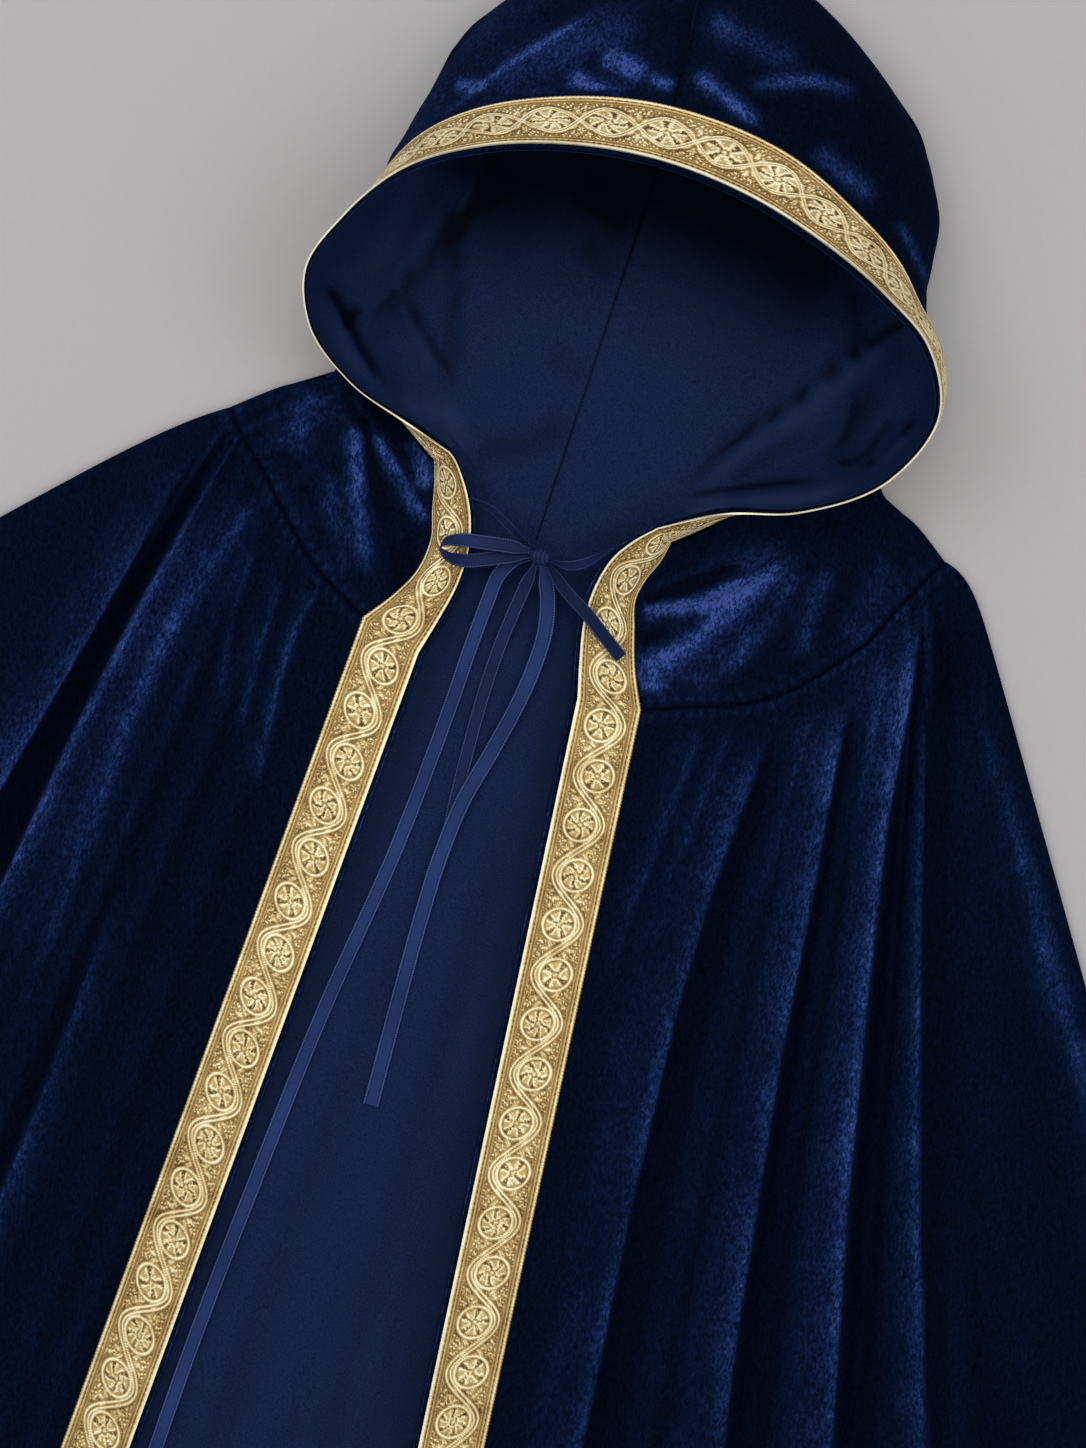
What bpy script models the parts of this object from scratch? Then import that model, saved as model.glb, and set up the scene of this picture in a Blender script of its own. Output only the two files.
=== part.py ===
# Hooded cloak laid flat on its back, hood open and fronts parted.
# The origin is on the table under the back of the neck. +Y runs up the garment to the hood,
# +X to the right of somebody who looks down on it, +Z up. Sizes below are millimetres.

import math

import bmesh
import bpy
import numpy as np
from mathutils import Vector, geometry

MM = 0.001

# cloth thicknesses and the gap at a seam
VELVET = 1.5
LINING = 1.0
TRIM = 0.9
RIBBON = 1.0
SEAM = 0.3
NECK_SEAM = 0.5

# trim band: how far it starts from the velvet's edge, where its middle and far edge are
TRIM_START = 3.0
TRIM_MIDDLE = 22.0
TRIM_END = 41.0
TRIM_STEPS = (0.0, TRIM_START, TRIM_MIDDLE, TRIM_END)
# share of the band's width that shows at the neck, where the rest is folded under
NECK_BAND = 0.46
NECK_BAND_LENGTH = 60.0

# length from the back of the neck to the hem
CLOAK_LENGTH = 1300.0

# top of the cloth where it lies flat on the lining, and where it meets the back at a side fold
LAID_TOP = 4.8
FOLD_TOP = 3.4
LAID_UNDER = 3.15
FOLD_UNDER = 1.8

# centre seam of the hood as it lies on the table: x at the neck, and its drift along y
SEAM_X = -9.6
SEAM_DRIFT = 0.074
SEAM_X_LIMIT = 8.0
NECK_Y = 4.0

# hood, one row for each section from the left of the neck over the forehead to the right:
# rim point, heading of the wall as it leaves the rim (degrees), how far and how high its
# handle reaches, how far the wall bellies past its foot, the foot, and where the section
# meets the centre seam
HOOD_COLUMNS = ("x", "y", "z", "heading", "reach", "rise", "tuck", "foot_x", "foot_y", "spine_y")
HOOD_ROWS = (
    (-69, 45, 26, 226, 16, 23, 17, -68, 51, 4),
    (-83, 50, 32, 240, 8, 26, 20, -82, 61, 20),
    (-134, 67, 48, 240, -4, 30, 36, -106, 98, 56),
    (-163, 92, 60, 212, -4, 34, 40, -120, 112, 80),
    (-172, 121, 68, 180, -2, 38, 42, -126, 128, 106),
    (-157, 155, 78, 156, 2, 44, 30, -126, 150, 136),
    (-132, 184, 88, 142, 14, 52, 44, -118, 182, 166),
    (-90, 205, 100, 126, 40, 62, 75, -98, 230, 210),
    (-42, 217, 105, 108, 70, 55, 120, -54, 283, 246),
    (9, 220, 107, 91, 110, 51, 130, 7, 310, 268),
    (58, 214, 103, 72, 95, 64, 124, 74, 286, 248),
    (106, 200, 97, 54, 62, 46, 104, 124, 240, 218),
    (150, 181, 86, 36, 28, 46, 52, 146, 192, 184),
    (178, 163, 78, 20, 16, 46, 58, 156, 160, 156),
    (196, 128, 67, -2, 4, 40, 60, 150, 128, 122),
    (179, 86, 60, -36, -4, 34, 40, 140, 104, 90),
    (134, 57, 50, -66, 0, 30, 30, 116, 86, 62),
    (88, 47, 35, -62, 10, 28, 20, 86, 60, 26),
    (57, 31, 28, -42, 16, 26, 16, 60, 37, 4),
)
FOREHEAD_ROW = 9
FOOT_AT = HOOD_COLUMNS.index("foot_x")

# how many strips a hood half has along the rim, down the wall and across the floor, how they
# crowd towards the neck, and how far a half stays from the forehead row (in rows)
HOOD_ALONG = 20
HOOD_WALL = 7
HOOD_FLOOR = 3
HOOD_CROWDING = 1.35
HALF_STOPS = 0.004
# points along a dense section line, and the least sine of the angle at which one leaves the rim
SECTION_POINTS = 161
LEAST_SLANT = 0.75

# the strip of the yoke that carries the trim, from the neck to the yoke seam: the front edge
# and the trim's far edge
STRIP_COLUMNS = ("edge_x", "edge_y", "edge_z", "far_x", "far_y", "far_z")
STRIPS = {
    "left": (
        (-58, 33, 20, -74, 26, 11),
        (-48, 14, 14.5, -72, 10, 7),
        (-44, -4, 12, -69, -6, 5),
        (-45, -29, 8.5, -73, -28, 5),
        (-51, -54, 6, -82, -43, 5),
        (-57, -75, LAID_TOP, -97, -61, LAID_TOP),
    ),
    "right": (
        (45, 21, 25, 64, 12, 12),
        (36, 10, 21.5, 59, 1, 9),
        (29, -9, 16.5, 56, -12, 6.5),
        (27, -32, 10.5, 60, -31, 5),
        (30, -55, 7, 66, -53, 5),
        (34, -77, LAID_TOP, 75, -75, LAID_TOP),
    ),
}

# yoke seam from the trim's far edge to the shoulder corner
PLAN_COLUMNS = ("x", "y")
YOKE_SEAMS = {
    "left": ((-97, -61), (-114, -51), (-134, -37), (-152, -18), (-173, 6), (-192, 26), (-203, 39)),
    "right": ((75, -75), (100, -67), (127, -59), (153, -46), (177, -24), (194, -5), (209, 23), (227, 53)),
}

# shoulder fold from the shoulder corner towards the neck, and the hood section it meets
SHOULDERS = {
    "left": {"points": ((-203, 39), (-177, 58), (-148, 75)), "meets_row": 3.15},
    "right": {"points": ((227, 53), (205, 70), (184, 81)), "meets_row": 14.8},
}

# ribs of a front panel, each a line from the yoke seam to the hem: place along the seam from
# the trim to the shoulder corner, lean from straight down the garment (degrees), sideways bow
# and how soon the bow is reached
RIB_COLUMNS = ("across", "lean", "bow", "ease")
RIBS = {
    "left": (
        (0.00, -6.0, 0, 60),
        (0.25, -6.6, 0, 60),
        (0.50, -8.0, -1, 60),
        (0.75, -10.5, -3, 60),
        (0.90, -13.0, -4, 50),
        (0.97, -17.0, -6, 45),
        (0.99, -30.0, -8, 40),
        (1.00, -47.0, -9, 35),
    ),
    "right": (
        (0.00, 2.0, 0, 60),
        (0.25, 2.2, 0, 60),
        (0.47, 2.6, 3, 90),
        (0.70, 5.5, 4, 80),
        (0.88, 10.0, 5, 110),
        (0.94, 14.5, 2, 60),
        (0.98, 26.0, 6, 30),
        (1.00, 29.5, 13, 12),
    ),
}

# pleats of a front panel: place along the seam, height, how far the near flank and the far
# flank reach as a share of the panel, and the distance from the seam at which it is full;
# at the seam a pleat starts with a share of its height
PLEAT_START = 0.3
FOLD_COLUMNS = ("across", "height", "near", "far", "grows")
FOLDS = {
    "left": (
        (0.22, 5, 0.10, 0.10, 160),
        (0.42, 7, 0.08, 0.09, 140),
        (0.60, 9, 0.07, 0.06, 120),
        (0.76, 8, 0.06, 0.05, 90),
        (0.88, 14, 0.05, 0.02, 60),
        (0.95, 12, 0.03, 0.03, 60),
    ),
    "right": (
        (0.18, 5, 0.08, 0.08, 160),
        (0.45, 9, 0.09, 0.05, 90),
        (0.68, 10, 0.08, 0.05, 90),
        (0.86, 16, 0.07, 0.02, 60),
        (0.925, 10, 0.02, 0.03, 60),
        (0.965, 9, 0.02, 0.02, 80),
    ),
}
# strips of a front panel down to the hem and how they crowd towards the yoke seam, and the
# places of its columns
FRONT_DOWN = 16
DOWN_CROWDING = 1.6
FRONT_COLUMNS = {
    "left": (
        0.06, 0.14, 0.22, 0.32, 0.42, 0.51, 0.60, 0.68, 0.76, 0.82,
        0.88, 0.905, 0.93, 0.95, 0.97, 0.978, 0.986, 0.993, 1.0,
    ),
    "right": (
        0.08, 0.18, 0.30, 0.38, 0.45, 0.50, 0.60, 0.68, 0.73, 0.80,
        0.86, 0.885, 0.925, 0.945, 0.965, 0.975, 0.985, 0.993, 1.0,
    ),
}
# roundness of the side folds
FOLD_RADIUS = 16.0
# columns next to the side fold that get an upright wall, and those that may sink to the back
SIDE_UPRIGHT = 5
SIDE_LOW = 8
# strips of a yoke piece from the neck to its seam
YOKE_DOWN = 6
# height of the yoke along the hood's foot and at its trim, over which hood rows it changes, the
# clearance from the hood, and the swell of the middle
YOKE_NECK_TOP = 5.6
YOKE_STRIP_TOP = 12.0
YOKE_STRIP_ROWS = (0.3, 1.8)
YOKE_CLEAR = 3.6
YOKE_SWELL = 4.0
# share of the yoke's height where the trim lies flat, and share of its width to full height
YOKE_FLAT = 0.8
YOKE_BEYOND_STRIP = 0.25
# points along the hood's foot, and how much of that line's start is left out
NECK_POINTS = 40
NECK_CORNER = 4.0
# how far the back's lining reaches along the neck seam and under the fronts
LINING_NECK_REACH = 58.0
LINING_UNDER_FRONT = 55.0
LINING_SHORTER = 20.0
# clearance of the back from the hood's foot, and points along it
BACK_CLEAR = 1.5
BACK_STOPS = 24

# satin tie, each strand a row of points with its own height above the table, and the way its
# flat side faces as a twist from lying flat (degrees)
STRAND_COLUMNS = ("x", "y", "z", "twist")
RIBBON_WIDTH = 7.5
# the ribbon is pinched near the knot: share of its width there, and where it widens
RIBBON_PINCH = 0.45
RIBBON_WIDENS = (7.0, 18.0)
KNOT = {"x": -4.2, "y": -2.0, "z": 17.0, "long": 13.0, "across": 10.0, "high": 8.0}
KNOT_SEGMENTS = 16
KNOT_RINGS = 8


def read(table, columns, column):
    # one named column of a table
    return np.array([row[columns.index(column)] for row in table], float)


def read_points(table, columns, names):
    # points from several named columns of a table
    return np.column_stack([read(table, columns, name) for name in names])


def through(knots, values, places):
    # smooth curve through a table's values, read at the given places
    knots = np.asarray(knots, float)
    values = np.asarray(values, float)
    flat = values.ndim == 1
    if flat:
        values = values[:, None]
    places = np.clip(np.asarray(places, float), knots[0], knots[-1])
    step = np.diff(knots)
    slope = np.diff(values, axis=0) / step[:, None]
    before, after = step[:-1, None], step[1:, None]
    inner = (slope[:-1] * after + slope[1:] * before) / (before + after)
    tangent = np.vstack([slope[:1], inner, slope[-1:]])
    index = np.clip(np.searchsorted(knots, places, side="right") - 1, 0, len(knots) - 2)
    width = step[index][..., None]
    u = ((places - knots[index]) / step[index])[..., None]
    result = (
        values[index] * (2 * u**3 - 3 * u**2 + 1)
        + tangent[index] * width * (u**3 - 2 * u**2 + u)
        + values[index + 1] * (3 * u**2 - 2 * u**3)
        + tangent[index + 1] * width * (u**3 - u**2)
    )
    return result[..., 0] if flat else result


def smooth(low, high, value):
    # eased step from 0 to 1
    u = np.clip((np.asarray(value, float) - low) / (high - low), 0.0, 1.0)
    return u * u * (3.0 - 2.0 * u)


def lengths(points):
    # running length along a line of points
    step = np.linalg.norm(np.diff(np.asarray(points, float), axis=0), axis=1)
    return np.concatenate([[0.0], np.cumsum(step)])


def path_at(points, shares):
    # points at shares 0 to 1 of the way along a smooth line
    knots = lengths(points)
    return through(knots, points, np.asarray(shares, float) * knots[-1])


def seam_x(y):
    # the centre seam's x where it lies on the table
    return np.minimum(SEAM_X + SEAM_DRIFT * np.asarray(y, float), SEAM_X_LIMIT)


def hood_sections(rows):
    # dense lines down the hood's wall, from the rim to the foot, at the given row numbers
    table = {name: read(HOOD_ROWS, HOOD_COLUMNS, name) for name in HOOD_COLUMNS}
    rim_points = np.column_stack([table["x"], table["y"], table["z"]])
    knots = lengths(rim_points)
    at = np.interp(rows, np.arange(len(HOOD_ROWS)), knots)
    value = {name: through(knots, table[name], at) for name in HOOD_COLUMNS}
    heading = np.radians(value["heading"])
    rim = np.column_stack([value["x"], value["y"], value["z"]])
    first = np.column_stack([
        value["x"] + np.cos(heading) * value["reach"],
        value["y"] + np.sin(heading) * value["reach"],
        value["rise"],
    ])
    foot = np.column_stack([value["foot_x"], value["foot_y"], value["x"] * 0])
    spine = np.column_stack([seam_x(value["spine_y"]), value["spine_y"], value["x"] * 0])
    outward = foot - spine
    outward /= np.linalg.norm(outward, axis=1)[:, None]
    neck_share = 1.0 - smooth(0.0, NECK_BAND_LENGTH, np.minimum(at, knots[-1] - at))[:, None]
    leaving = np.column_stack([np.cos(heading), np.sin(heading), heading * 0.0])
    outward += (leaving - outward) * neck_share
    outward /= np.linalg.norm(outward, axis=1)[:, None]
    second = foot + outward * value["tuck"][:, None]
    u = np.linspace(0.0, 1.0, SECTION_POINTS)[None, :, None]
    wall = (
        rim[:, None] * (1 - u) ** 3
        + first[:, None] * 3 * (1 - u) ** 2 * u
        + second[:, None] * 3 * (1 - u) * u**2
        + foot[:, None] * u**3
    )
    return wall, spine


def rim_tangent(rows):
    # direction of the rim at the given row numbers
    ahead, _ = hood_sections(np.asarray(rows) + 0.02)
    behind, _ = hood_sections(np.asarray(rows) - 0.02)
    tangent = ahead[:, 0] - behind[:, 0]
    return tangent / np.linalg.norm(tangent, axis=1)[:, None]


def rim_knots():
    # running length of the rim at each row of the hood's table
    return lengths(read_points(HOOD_ROWS, HOOD_COLUMNS, ("x", "y", "z")))


def band_width(rows):
    # share of the trim's width that shows, narrower at the neck
    knots = rim_knots()
    run = np.interp(rows, np.arange(len(HOOD_ROWS)), knots)
    from_neck = np.minimum(run, knots[-1] - run)
    return NECK_BAND + (1.0 - NECK_BAND) * smooth(0.0, NECK_BAND_LENGTH, from_neck)


def hood_grid(rows, seam_shift):
    # outer face of the hood: rows of points from the rim, past the trim and down the wall to
    # the foot, then over the floor to the centre seam
    wall, spine = hood_sections(rows)
    across = rim_tangent(np.clip(rows, 0.03, len(HOOD_ROWS) - 1.03))
    grid = []
    for line, end, tangent, width in zip(wall, spine, across, band_width(rows)):
        run = lengths(line)
        leaves = (line[1] - line[0]) / np.linalg.norm(line[1] - line[0])
        slant = max(np.linalg.norm(np.cross(leaves, tangent)), LEAST_SLANT)
        band = [step / slant * width for step in TRIM_STEPS]
        rest = np.linspace(band[-1], run[-1], HOOD_WALL + 1)[1:]
        stops = np.concatenate([band, rest])
        down = np.column_stack([np.interp(stops, run, line[:, k]) for k in range(3)])
        floor_end = end + np.array([seam_shift, 0.0, 0.0])
        floor = [down[-1] + (floor_end - down[-1]) * k / HOOD_FLOOR for k in range(1, HOOD_FLOOR + 1)]
        grid.append(np.vstack([down, floor]))
    grid = np.array(grid)
    grid[:, -HOOD_FLOOR - 1:, 2] = 0.0
    return grid


def grid_normals(grid):
    # unit normals of a grid of points, on the side of (next row) x (next column)
    along = np.gradient(grid, axis=0)
    across = np.gradient(grid, axis=1)
    normal = np.cross(along, across)
    return normal / np.maximum(np.linalg.norm(normal, axis=2), 1e-9)[..., None]


def hood_rows(side):
    # row numbers of one half, closer together at the neck, kept half a seam from the centre
    last = len(HOOD_ROWS) - 1
    knots = rim_knots()
    if side == "left":
        ends = np.interp([0.0, FOREHEAD_ROW - HALF_STOPS], np.arange(last + 1), knots)
        steps = (np.arange(HOOD_ALONG + 1) / HOOD_ALONG) ** HOOD_CROWDING
    else:
        ends = np.interp([FOREHEAD_ROW + HALF_STOPS, last], np.arange(last + 1), knots)
        steps = 1.0 - (np.arange(HOOD_ALONG, -1, -1) / HOOD_ALONG) ** HOOD_CROWDING
    return np.interp(ends[0] + (ends[1] - ends[0]) * steps, knots, np.arange(last + 1))


def hood_layers(side):
    # the hood half's outer face and its outward normals
    shift = -0.5 * SEAM if side == "left" else 0.5 * SEAM
    grid = hood_grid(hood_rows(side), shift)
    normal = grid_normals(grid)
    centre = -1 if side == "left" else 0
    normal[centre, :, 0] = 0.0
    normal /= np.linalg.norm(normal, axis=2)[..., None]
    normal[:, -HOOD_FLOOR - 1:] = (0.0, 0.0, -1.0)
    return grid, normal


def hood_base(rows, heights, clear):
    # plan points just outside the hood's wall, where its lower part is at the given heights
    wall, spine = hood_sections(rows)
    points = []
    for line, height in zip(wall, heights):
        upward = line[::-1]
        points.append(upward[int(np.argmax(upward[:, 2] >= height)), :2])
    points = np.array(points)
    along = np.gradient(points, axis=0)
    aside = np.column_stack([along[:, 1], -along[:, 0]])
    aside *= np.sign(np.sum(aside * (points - spine[:, :2])))
    return points + aside / np.linalg.norm(aside, axis=1)[:, None] * clear


def neck_line(side):
    # direction of the neck seam from the centre towards one side, in plan
    row = HOOD_ROWS[0] if side == "left" else HOOD_ROWS[-1]
    centre = np.array([float(seam_x(NECK_Y)), NECK_Y])
    direction = np.array(row[FOOT_AT:FOOT_AT + 2], float) - centre
    return centre, direction / np.linalg.norm(direction)


def neck_band(side):
    # the hood's trim points on its neck edge, and their normals
    grid, normal = hood_layers(side)
    end = 0 if side == "left" else -1
    return grid[end, :len(TRIM_STEPS)], normal[end, :len(TRIM_STEPS)]


def neck_normals(side):
    # normals that the hood and the yoke share where their trims meet, halfway between the two
    _, hood_normal = neck_band(side)
    laid = laid_normals(yoke_grid(side), (-1,))[0, :len(TRIM_STEPS)]
    shared = hood_normal + laid
    return shared / np.linalg.norm(shared, axis=1)[:, None]


def straight(lean):
    # direction of a line that leans from straight down the garment, in plan
    return np.array([math.sin(math.radians(lean)), -math.cos(math.radians(lean))])


def yoke_seam(side):
    # the yoke seam from the trim's far edge to the shoulder corner
    edge = np.array(STRIPS[side][-1][:2], float)
    lean = RIBS[side][0][1]
    along = straight(lean)
    away = np.array([along[1], -along[0]]) if side == "left" else np.array([-along[1], along[0]])
    points = read_points(YOKE_SEAMS[side], PLAN_COLUMNS, PLAN_COLUMNS)
    points[0] = edge + away * TRIM_END + along * float(np.dot(points[0] - edge, along))
    return points, edge, along, away


def fold_height(side, across, distance):
    # height of the pleats above the laid cloth
    total = 0.0
    for row in FOLDS[side]:
        fold = dict(zip(FOLD_COLUMNS, row))
        reach = fold["near"] if across < fold["across"] else fold["far"]
        share = min(abs(across - fold["across"]) / reach, 1.0)
        shape = 0.5 + 0.5 * math.cos(math.pi * share)
        grown = float(smooth(0.0, fold["grows"], distance))
        total += fold["height"] * shape * (PLEAT_START + (1.0 - PLEAT_START) * grown)
    return total


def rounded(distance, radius):
    # quarter-round profile, 0 at the fold and 1 from the radius on
    share = np.clip(np.asarray(distance, float) / radius, 0.0, 1.0)
    return np.sqrt(np.maximum(1.0 - (1.0 - share) ** 2, 0.0))


def down_steps():
    # shares of the way from the yoke seam to the hem, closer together at the seam
    return (np.arange(FRONT_DOWN + 1) / FRONT_DOWN) ** DOWN_CROWDING


def front_grid(side):
    # top face of a front panel: rows from the yoke seam to the hem, columns from the front edge
    seam, edge, along, away = yoke_seam(side)
    columns = np.array(FRONT_COLUMNS[side])
    table = {name: read(RIBS[side], RIB_COLUMNS, name) for name in RIB_COLUMNS}
    lean = np.interp(columns, table["across"], table["lean"])
    bow = np.interp(columns, table["across"], table["bow"])
    ease = np.interp(columns, table["across"], table["ease"])
    starts = path_at(seam, columns)
    neck, _ = neck_line(side)
    shift = float(np.dot(seam[0] - edge, along))
    steps = down_steps()
    grid = []
    for step in steps:
        row = []
        for offset in TRIM_STEPS:
            start = edge + away * offset + along * shift * offset / TRIM_END
            reach = (CLOAK_LENGTH - np.linalg.norm(start - neck)) * step
            row.append((*(start + along * reach), LAID_TOP))
        for k, start in enumerate(starts):
            reach = (CLOAK_LENGTH - np.linalg.norm(start - neck)) * step
            direction = straight(lean[k])
            aside = np.array([-direction[1], direction[0]]) * bow[k] * (1.0 - math.exp(-reach / ease[k]))
            point = start + direction * reach + aside
            row.append((*point, LAID_TOP + fold_height(side, columns[k], reach)))
        row = np.array(row)
        distance = np.linalg.norm(row[:, :2] - row[-1, :2], axis=1)
        row[:, 2] = FOLD_TOP + (row[:, 2] - FOLD_TOP) * rounded(distance, FOLD_RADIUS)
        grid.append(row)
    return np.array(grid)


def neck_edge(side):
    # plan line of the yoke along the foot of the hood's wall, from the neck seam to the shoulder
    # fold
    meets = SHOULDERS[side]["meets_row"]
    last = len(HOOD_ROWS) - 1
    rows = np.linspace(0.0 if side == "left" else last, meets, NECK_POINTS)
    from_neck = np.abs(rows - rows[0])
    raised = 1.0 - smooth(*YOKE_STRIP_ROWS, from_neck)
    heights = YOKE_NECK_TOP + (YOKE_STRIP_TOP - YOKE_NECK_TOP) * raised
    return hood_base(rows, heights, YOKE_CLEAR)


def shoulder_fold(side):
    # plan line from the neck end of the shoulder fold to the shoulder corner
    corner_first = read_points(SHOULDERS[side]["points"], PLAN_COLUMNS, PLAN_COLUMNS)
    return np.vstack([neck_edge(side)[-1:], corner_first[::-1]])


def yoke_grid(side):
    # top face of a yoke piece: rows from the neck to the yoke seam, columns as the front's
    front = front_grid(side)
    band, _ = neck_band(side)
    edges = np.vstack([band[0], read_points(STRIPS[side], STRIP_COLUMNS, STRIP_COLUMNS[:3])])
    far = np.vstack([band[-1], read_points(STRIPS[side], STRIP_COLUMNS, STRIP_COLUMNS[3:])])
    shares = np.linspace(0.0, 1.0, YOKE_DOWN + 1)
    edge_line = path_at(edges, shares)
    far_line = path_at(far, shares)
    columns = np.array(FRONT_COLUMNS[side])
    base = neck_edge(side)
    away = np.linalg.norm(base - base[0], axis=1)
    base = np.vstack([far[:1, :2], base[:1], base[int(np.argmax(away > NECK_CORNER)):]])
    top = path_at(base, np.concatenate([[0.0], columns]))
    bottom = front[0, len(TRIM_STEPS) - 1:, :2]
    outer = path_at(shoulder_fold(side), shares)
    top[-1] = outer[0]
    plan = blend_patch(top, bottom, far_line[:, :2], outer, np.concatenate([[0.0], columns]), shares)
    grid = np.zeros((YOKE_DOWN + 1, len(TRIM_STEPS) + len(columns), 3))
    for i, share in enumerate(shares):
        flatness = float(smooth(0.0, YOKE_FLAT, share))
        for k, offset in enumerate(TRIM_STEPS):
            part = offset / TRIM_END
            flat_point = edge_line[i] * (1.0 - part) + far_line[i] * part
            shape = band[k] - (band[0] * (1.0 - part) + band[-1] * part)
            grid[i, k] = flat_point + shape * (1.0 - flatness)
        for j, place in enumerate(columns):
            beyond_strip = float(smooth(0.0, YOKE_BEYOND_STRIP, place))
            high = YOKE_NECK_TOP * (1.0 - share) + front[0, len(TRIM_STEPS) + j, 2] * share
            high += YOKE_SWELL * math.sin(math.pi * share) ** 2 * math.sin(math.pi * place)
            z = far_line[i, 2] * (1.0 - beyond_strip) + high * beyond_strip
            distance = np.linalg.norm(plan[i, j + 1] - outer[i])
            z = FOLD_TOP + (z - FOLD_TOP) * float(rounded(distance, FOLD_RADIUS))
            grid[i, len(TRIM_STEPS) + j] = (*plan[i, j + 1], max(z, FOLD_TOP))
    grid[-1] = front[0]
    for end, inside in ((0, 1), (-1, -2)):
        pull = grid[inside] - grid[end]
        count = len(TRIM_STEPS) if end == 0 else len(pull)
        pull /= np.linalg.norm(pull, axis=1)[:, None]
        grid[end, :count] += pull[:count] * (NECK_SEAM if end == 0 else SEAM)
    return grid


def blend_patch(top, bottom, inner, outer, places, shares):
    # plan patch between four border lines, columns at given places, rows at given shares down
    s = np.asarray(shares)[:, None, None]
    a = np.asarray(places)[None, :, None]
    ruled = (1 - s) * top[None] + s * bottom[None]
    sided = (1 - a) * inner[:, None] + a * outer[:, None]
    corners = (1 - s) * ((1 - a) * top[0] + a * top[-1]) + s * ((1 - a) * bottom[0] + a * bottom[-1])
    return ruled + sided - corners


def laid_normals(grid, upright_rows):
    # normals on the upper side of laid cloth, straight up on the rows that meet a flat seam
    normal = grid_normals(grid)
    normal *= np.where(normal[..., 2:] < 0.0, -1.0, 1.0)
    for row in upright_rows:
        normal[row] = (0.0, 0.0, 1.0)
    normal[:, -SIDE_UPRIGHT:] = (0.0, 0.0, 1.0)
    return normal


def under_side(grid, normal):
    # underside of laid cloth, never down in the layers below it
    under = grid - normal * VELVET
    floor = np.full(grid.shape[:2], LAID_UNDER)
    floor[:, -SIDE_LOW:] = FOLD_UNDER
    under[..., 2] = np.maximum(under[..., 2], floor)
    return under


def cloth(name, face, back, colour, roughness, metallic=0.0):
    # closed wall between two grids of points
    rows, columns = face.shape[:2]
    mesh = bmesh.new()
    top = [[mesh.verts.new(point * MM) for point in row] for row in face]
    low = [[mesh.verts.new(point * MM) for point in row] for row in back]
    for i in range(rows - 1):
        for j in range(columns - 1):
            one = np.linalg.norm(face[i, j] - face[i + 1, j + 1])
            other = np.linalg.norm(face[i, j + 1] - face[i + 1, j])
            for layer in (top, low):
                a, b = layer[i][j], layer[i][j + 1]
                c, d = layer[i + 1][j + 1], layer[i + 1][j]
                corners = ((a, b, c), (a, c, d)) if one <= other else ((a, b, d), (b, c, d))
                for three in corners:
                    mesh.faces.new(three)
    ring = [(0, j) for j in range(columns)]
    ring += [(i, columns - 1) for i in range(1, rows)]
    ring += [(rows - 1, j) for j in range(columns - 2, -1, -1)]
    ring += [(i, 0) for i in range(rows - 2, 0, -1)]
    for (i, j), (k, m) in zip(ring, ring[1:] + ring[:1]):
        mesh.faces.new((top[i][j], top[k][m], low[k][m]))
        mesh.faces.new((top[i][j], low[k][m], low[i][j]))
    bmesh.ops.recalc_face_normals(mesh, faces=mesh.faces)
    finish(name, mesh, colour, roughness, metallic)


def finish(name, mesh, colour, roughness, metallic):
    data = bpy.data.meshes.new(name)
    mesh.to_mesh(data)
    mesh.free()
    item = bpy.data.objects.new(name, data)
    bpy.context.scene.collection.objects.link(item)
    material = bpy.data.materials.new(name)
    material.use_nodes = True
    shader = material.node_tree.nodes["Principled BSDF"]
    shader.inputs["Base Color"].default_value = (*colour, 1.0)
    shader.inputs["Roughness"].default_value = roughness
    shader.inputs["Metallic"].default_value = metallic
    data.materials.append(material)
    return item


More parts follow.
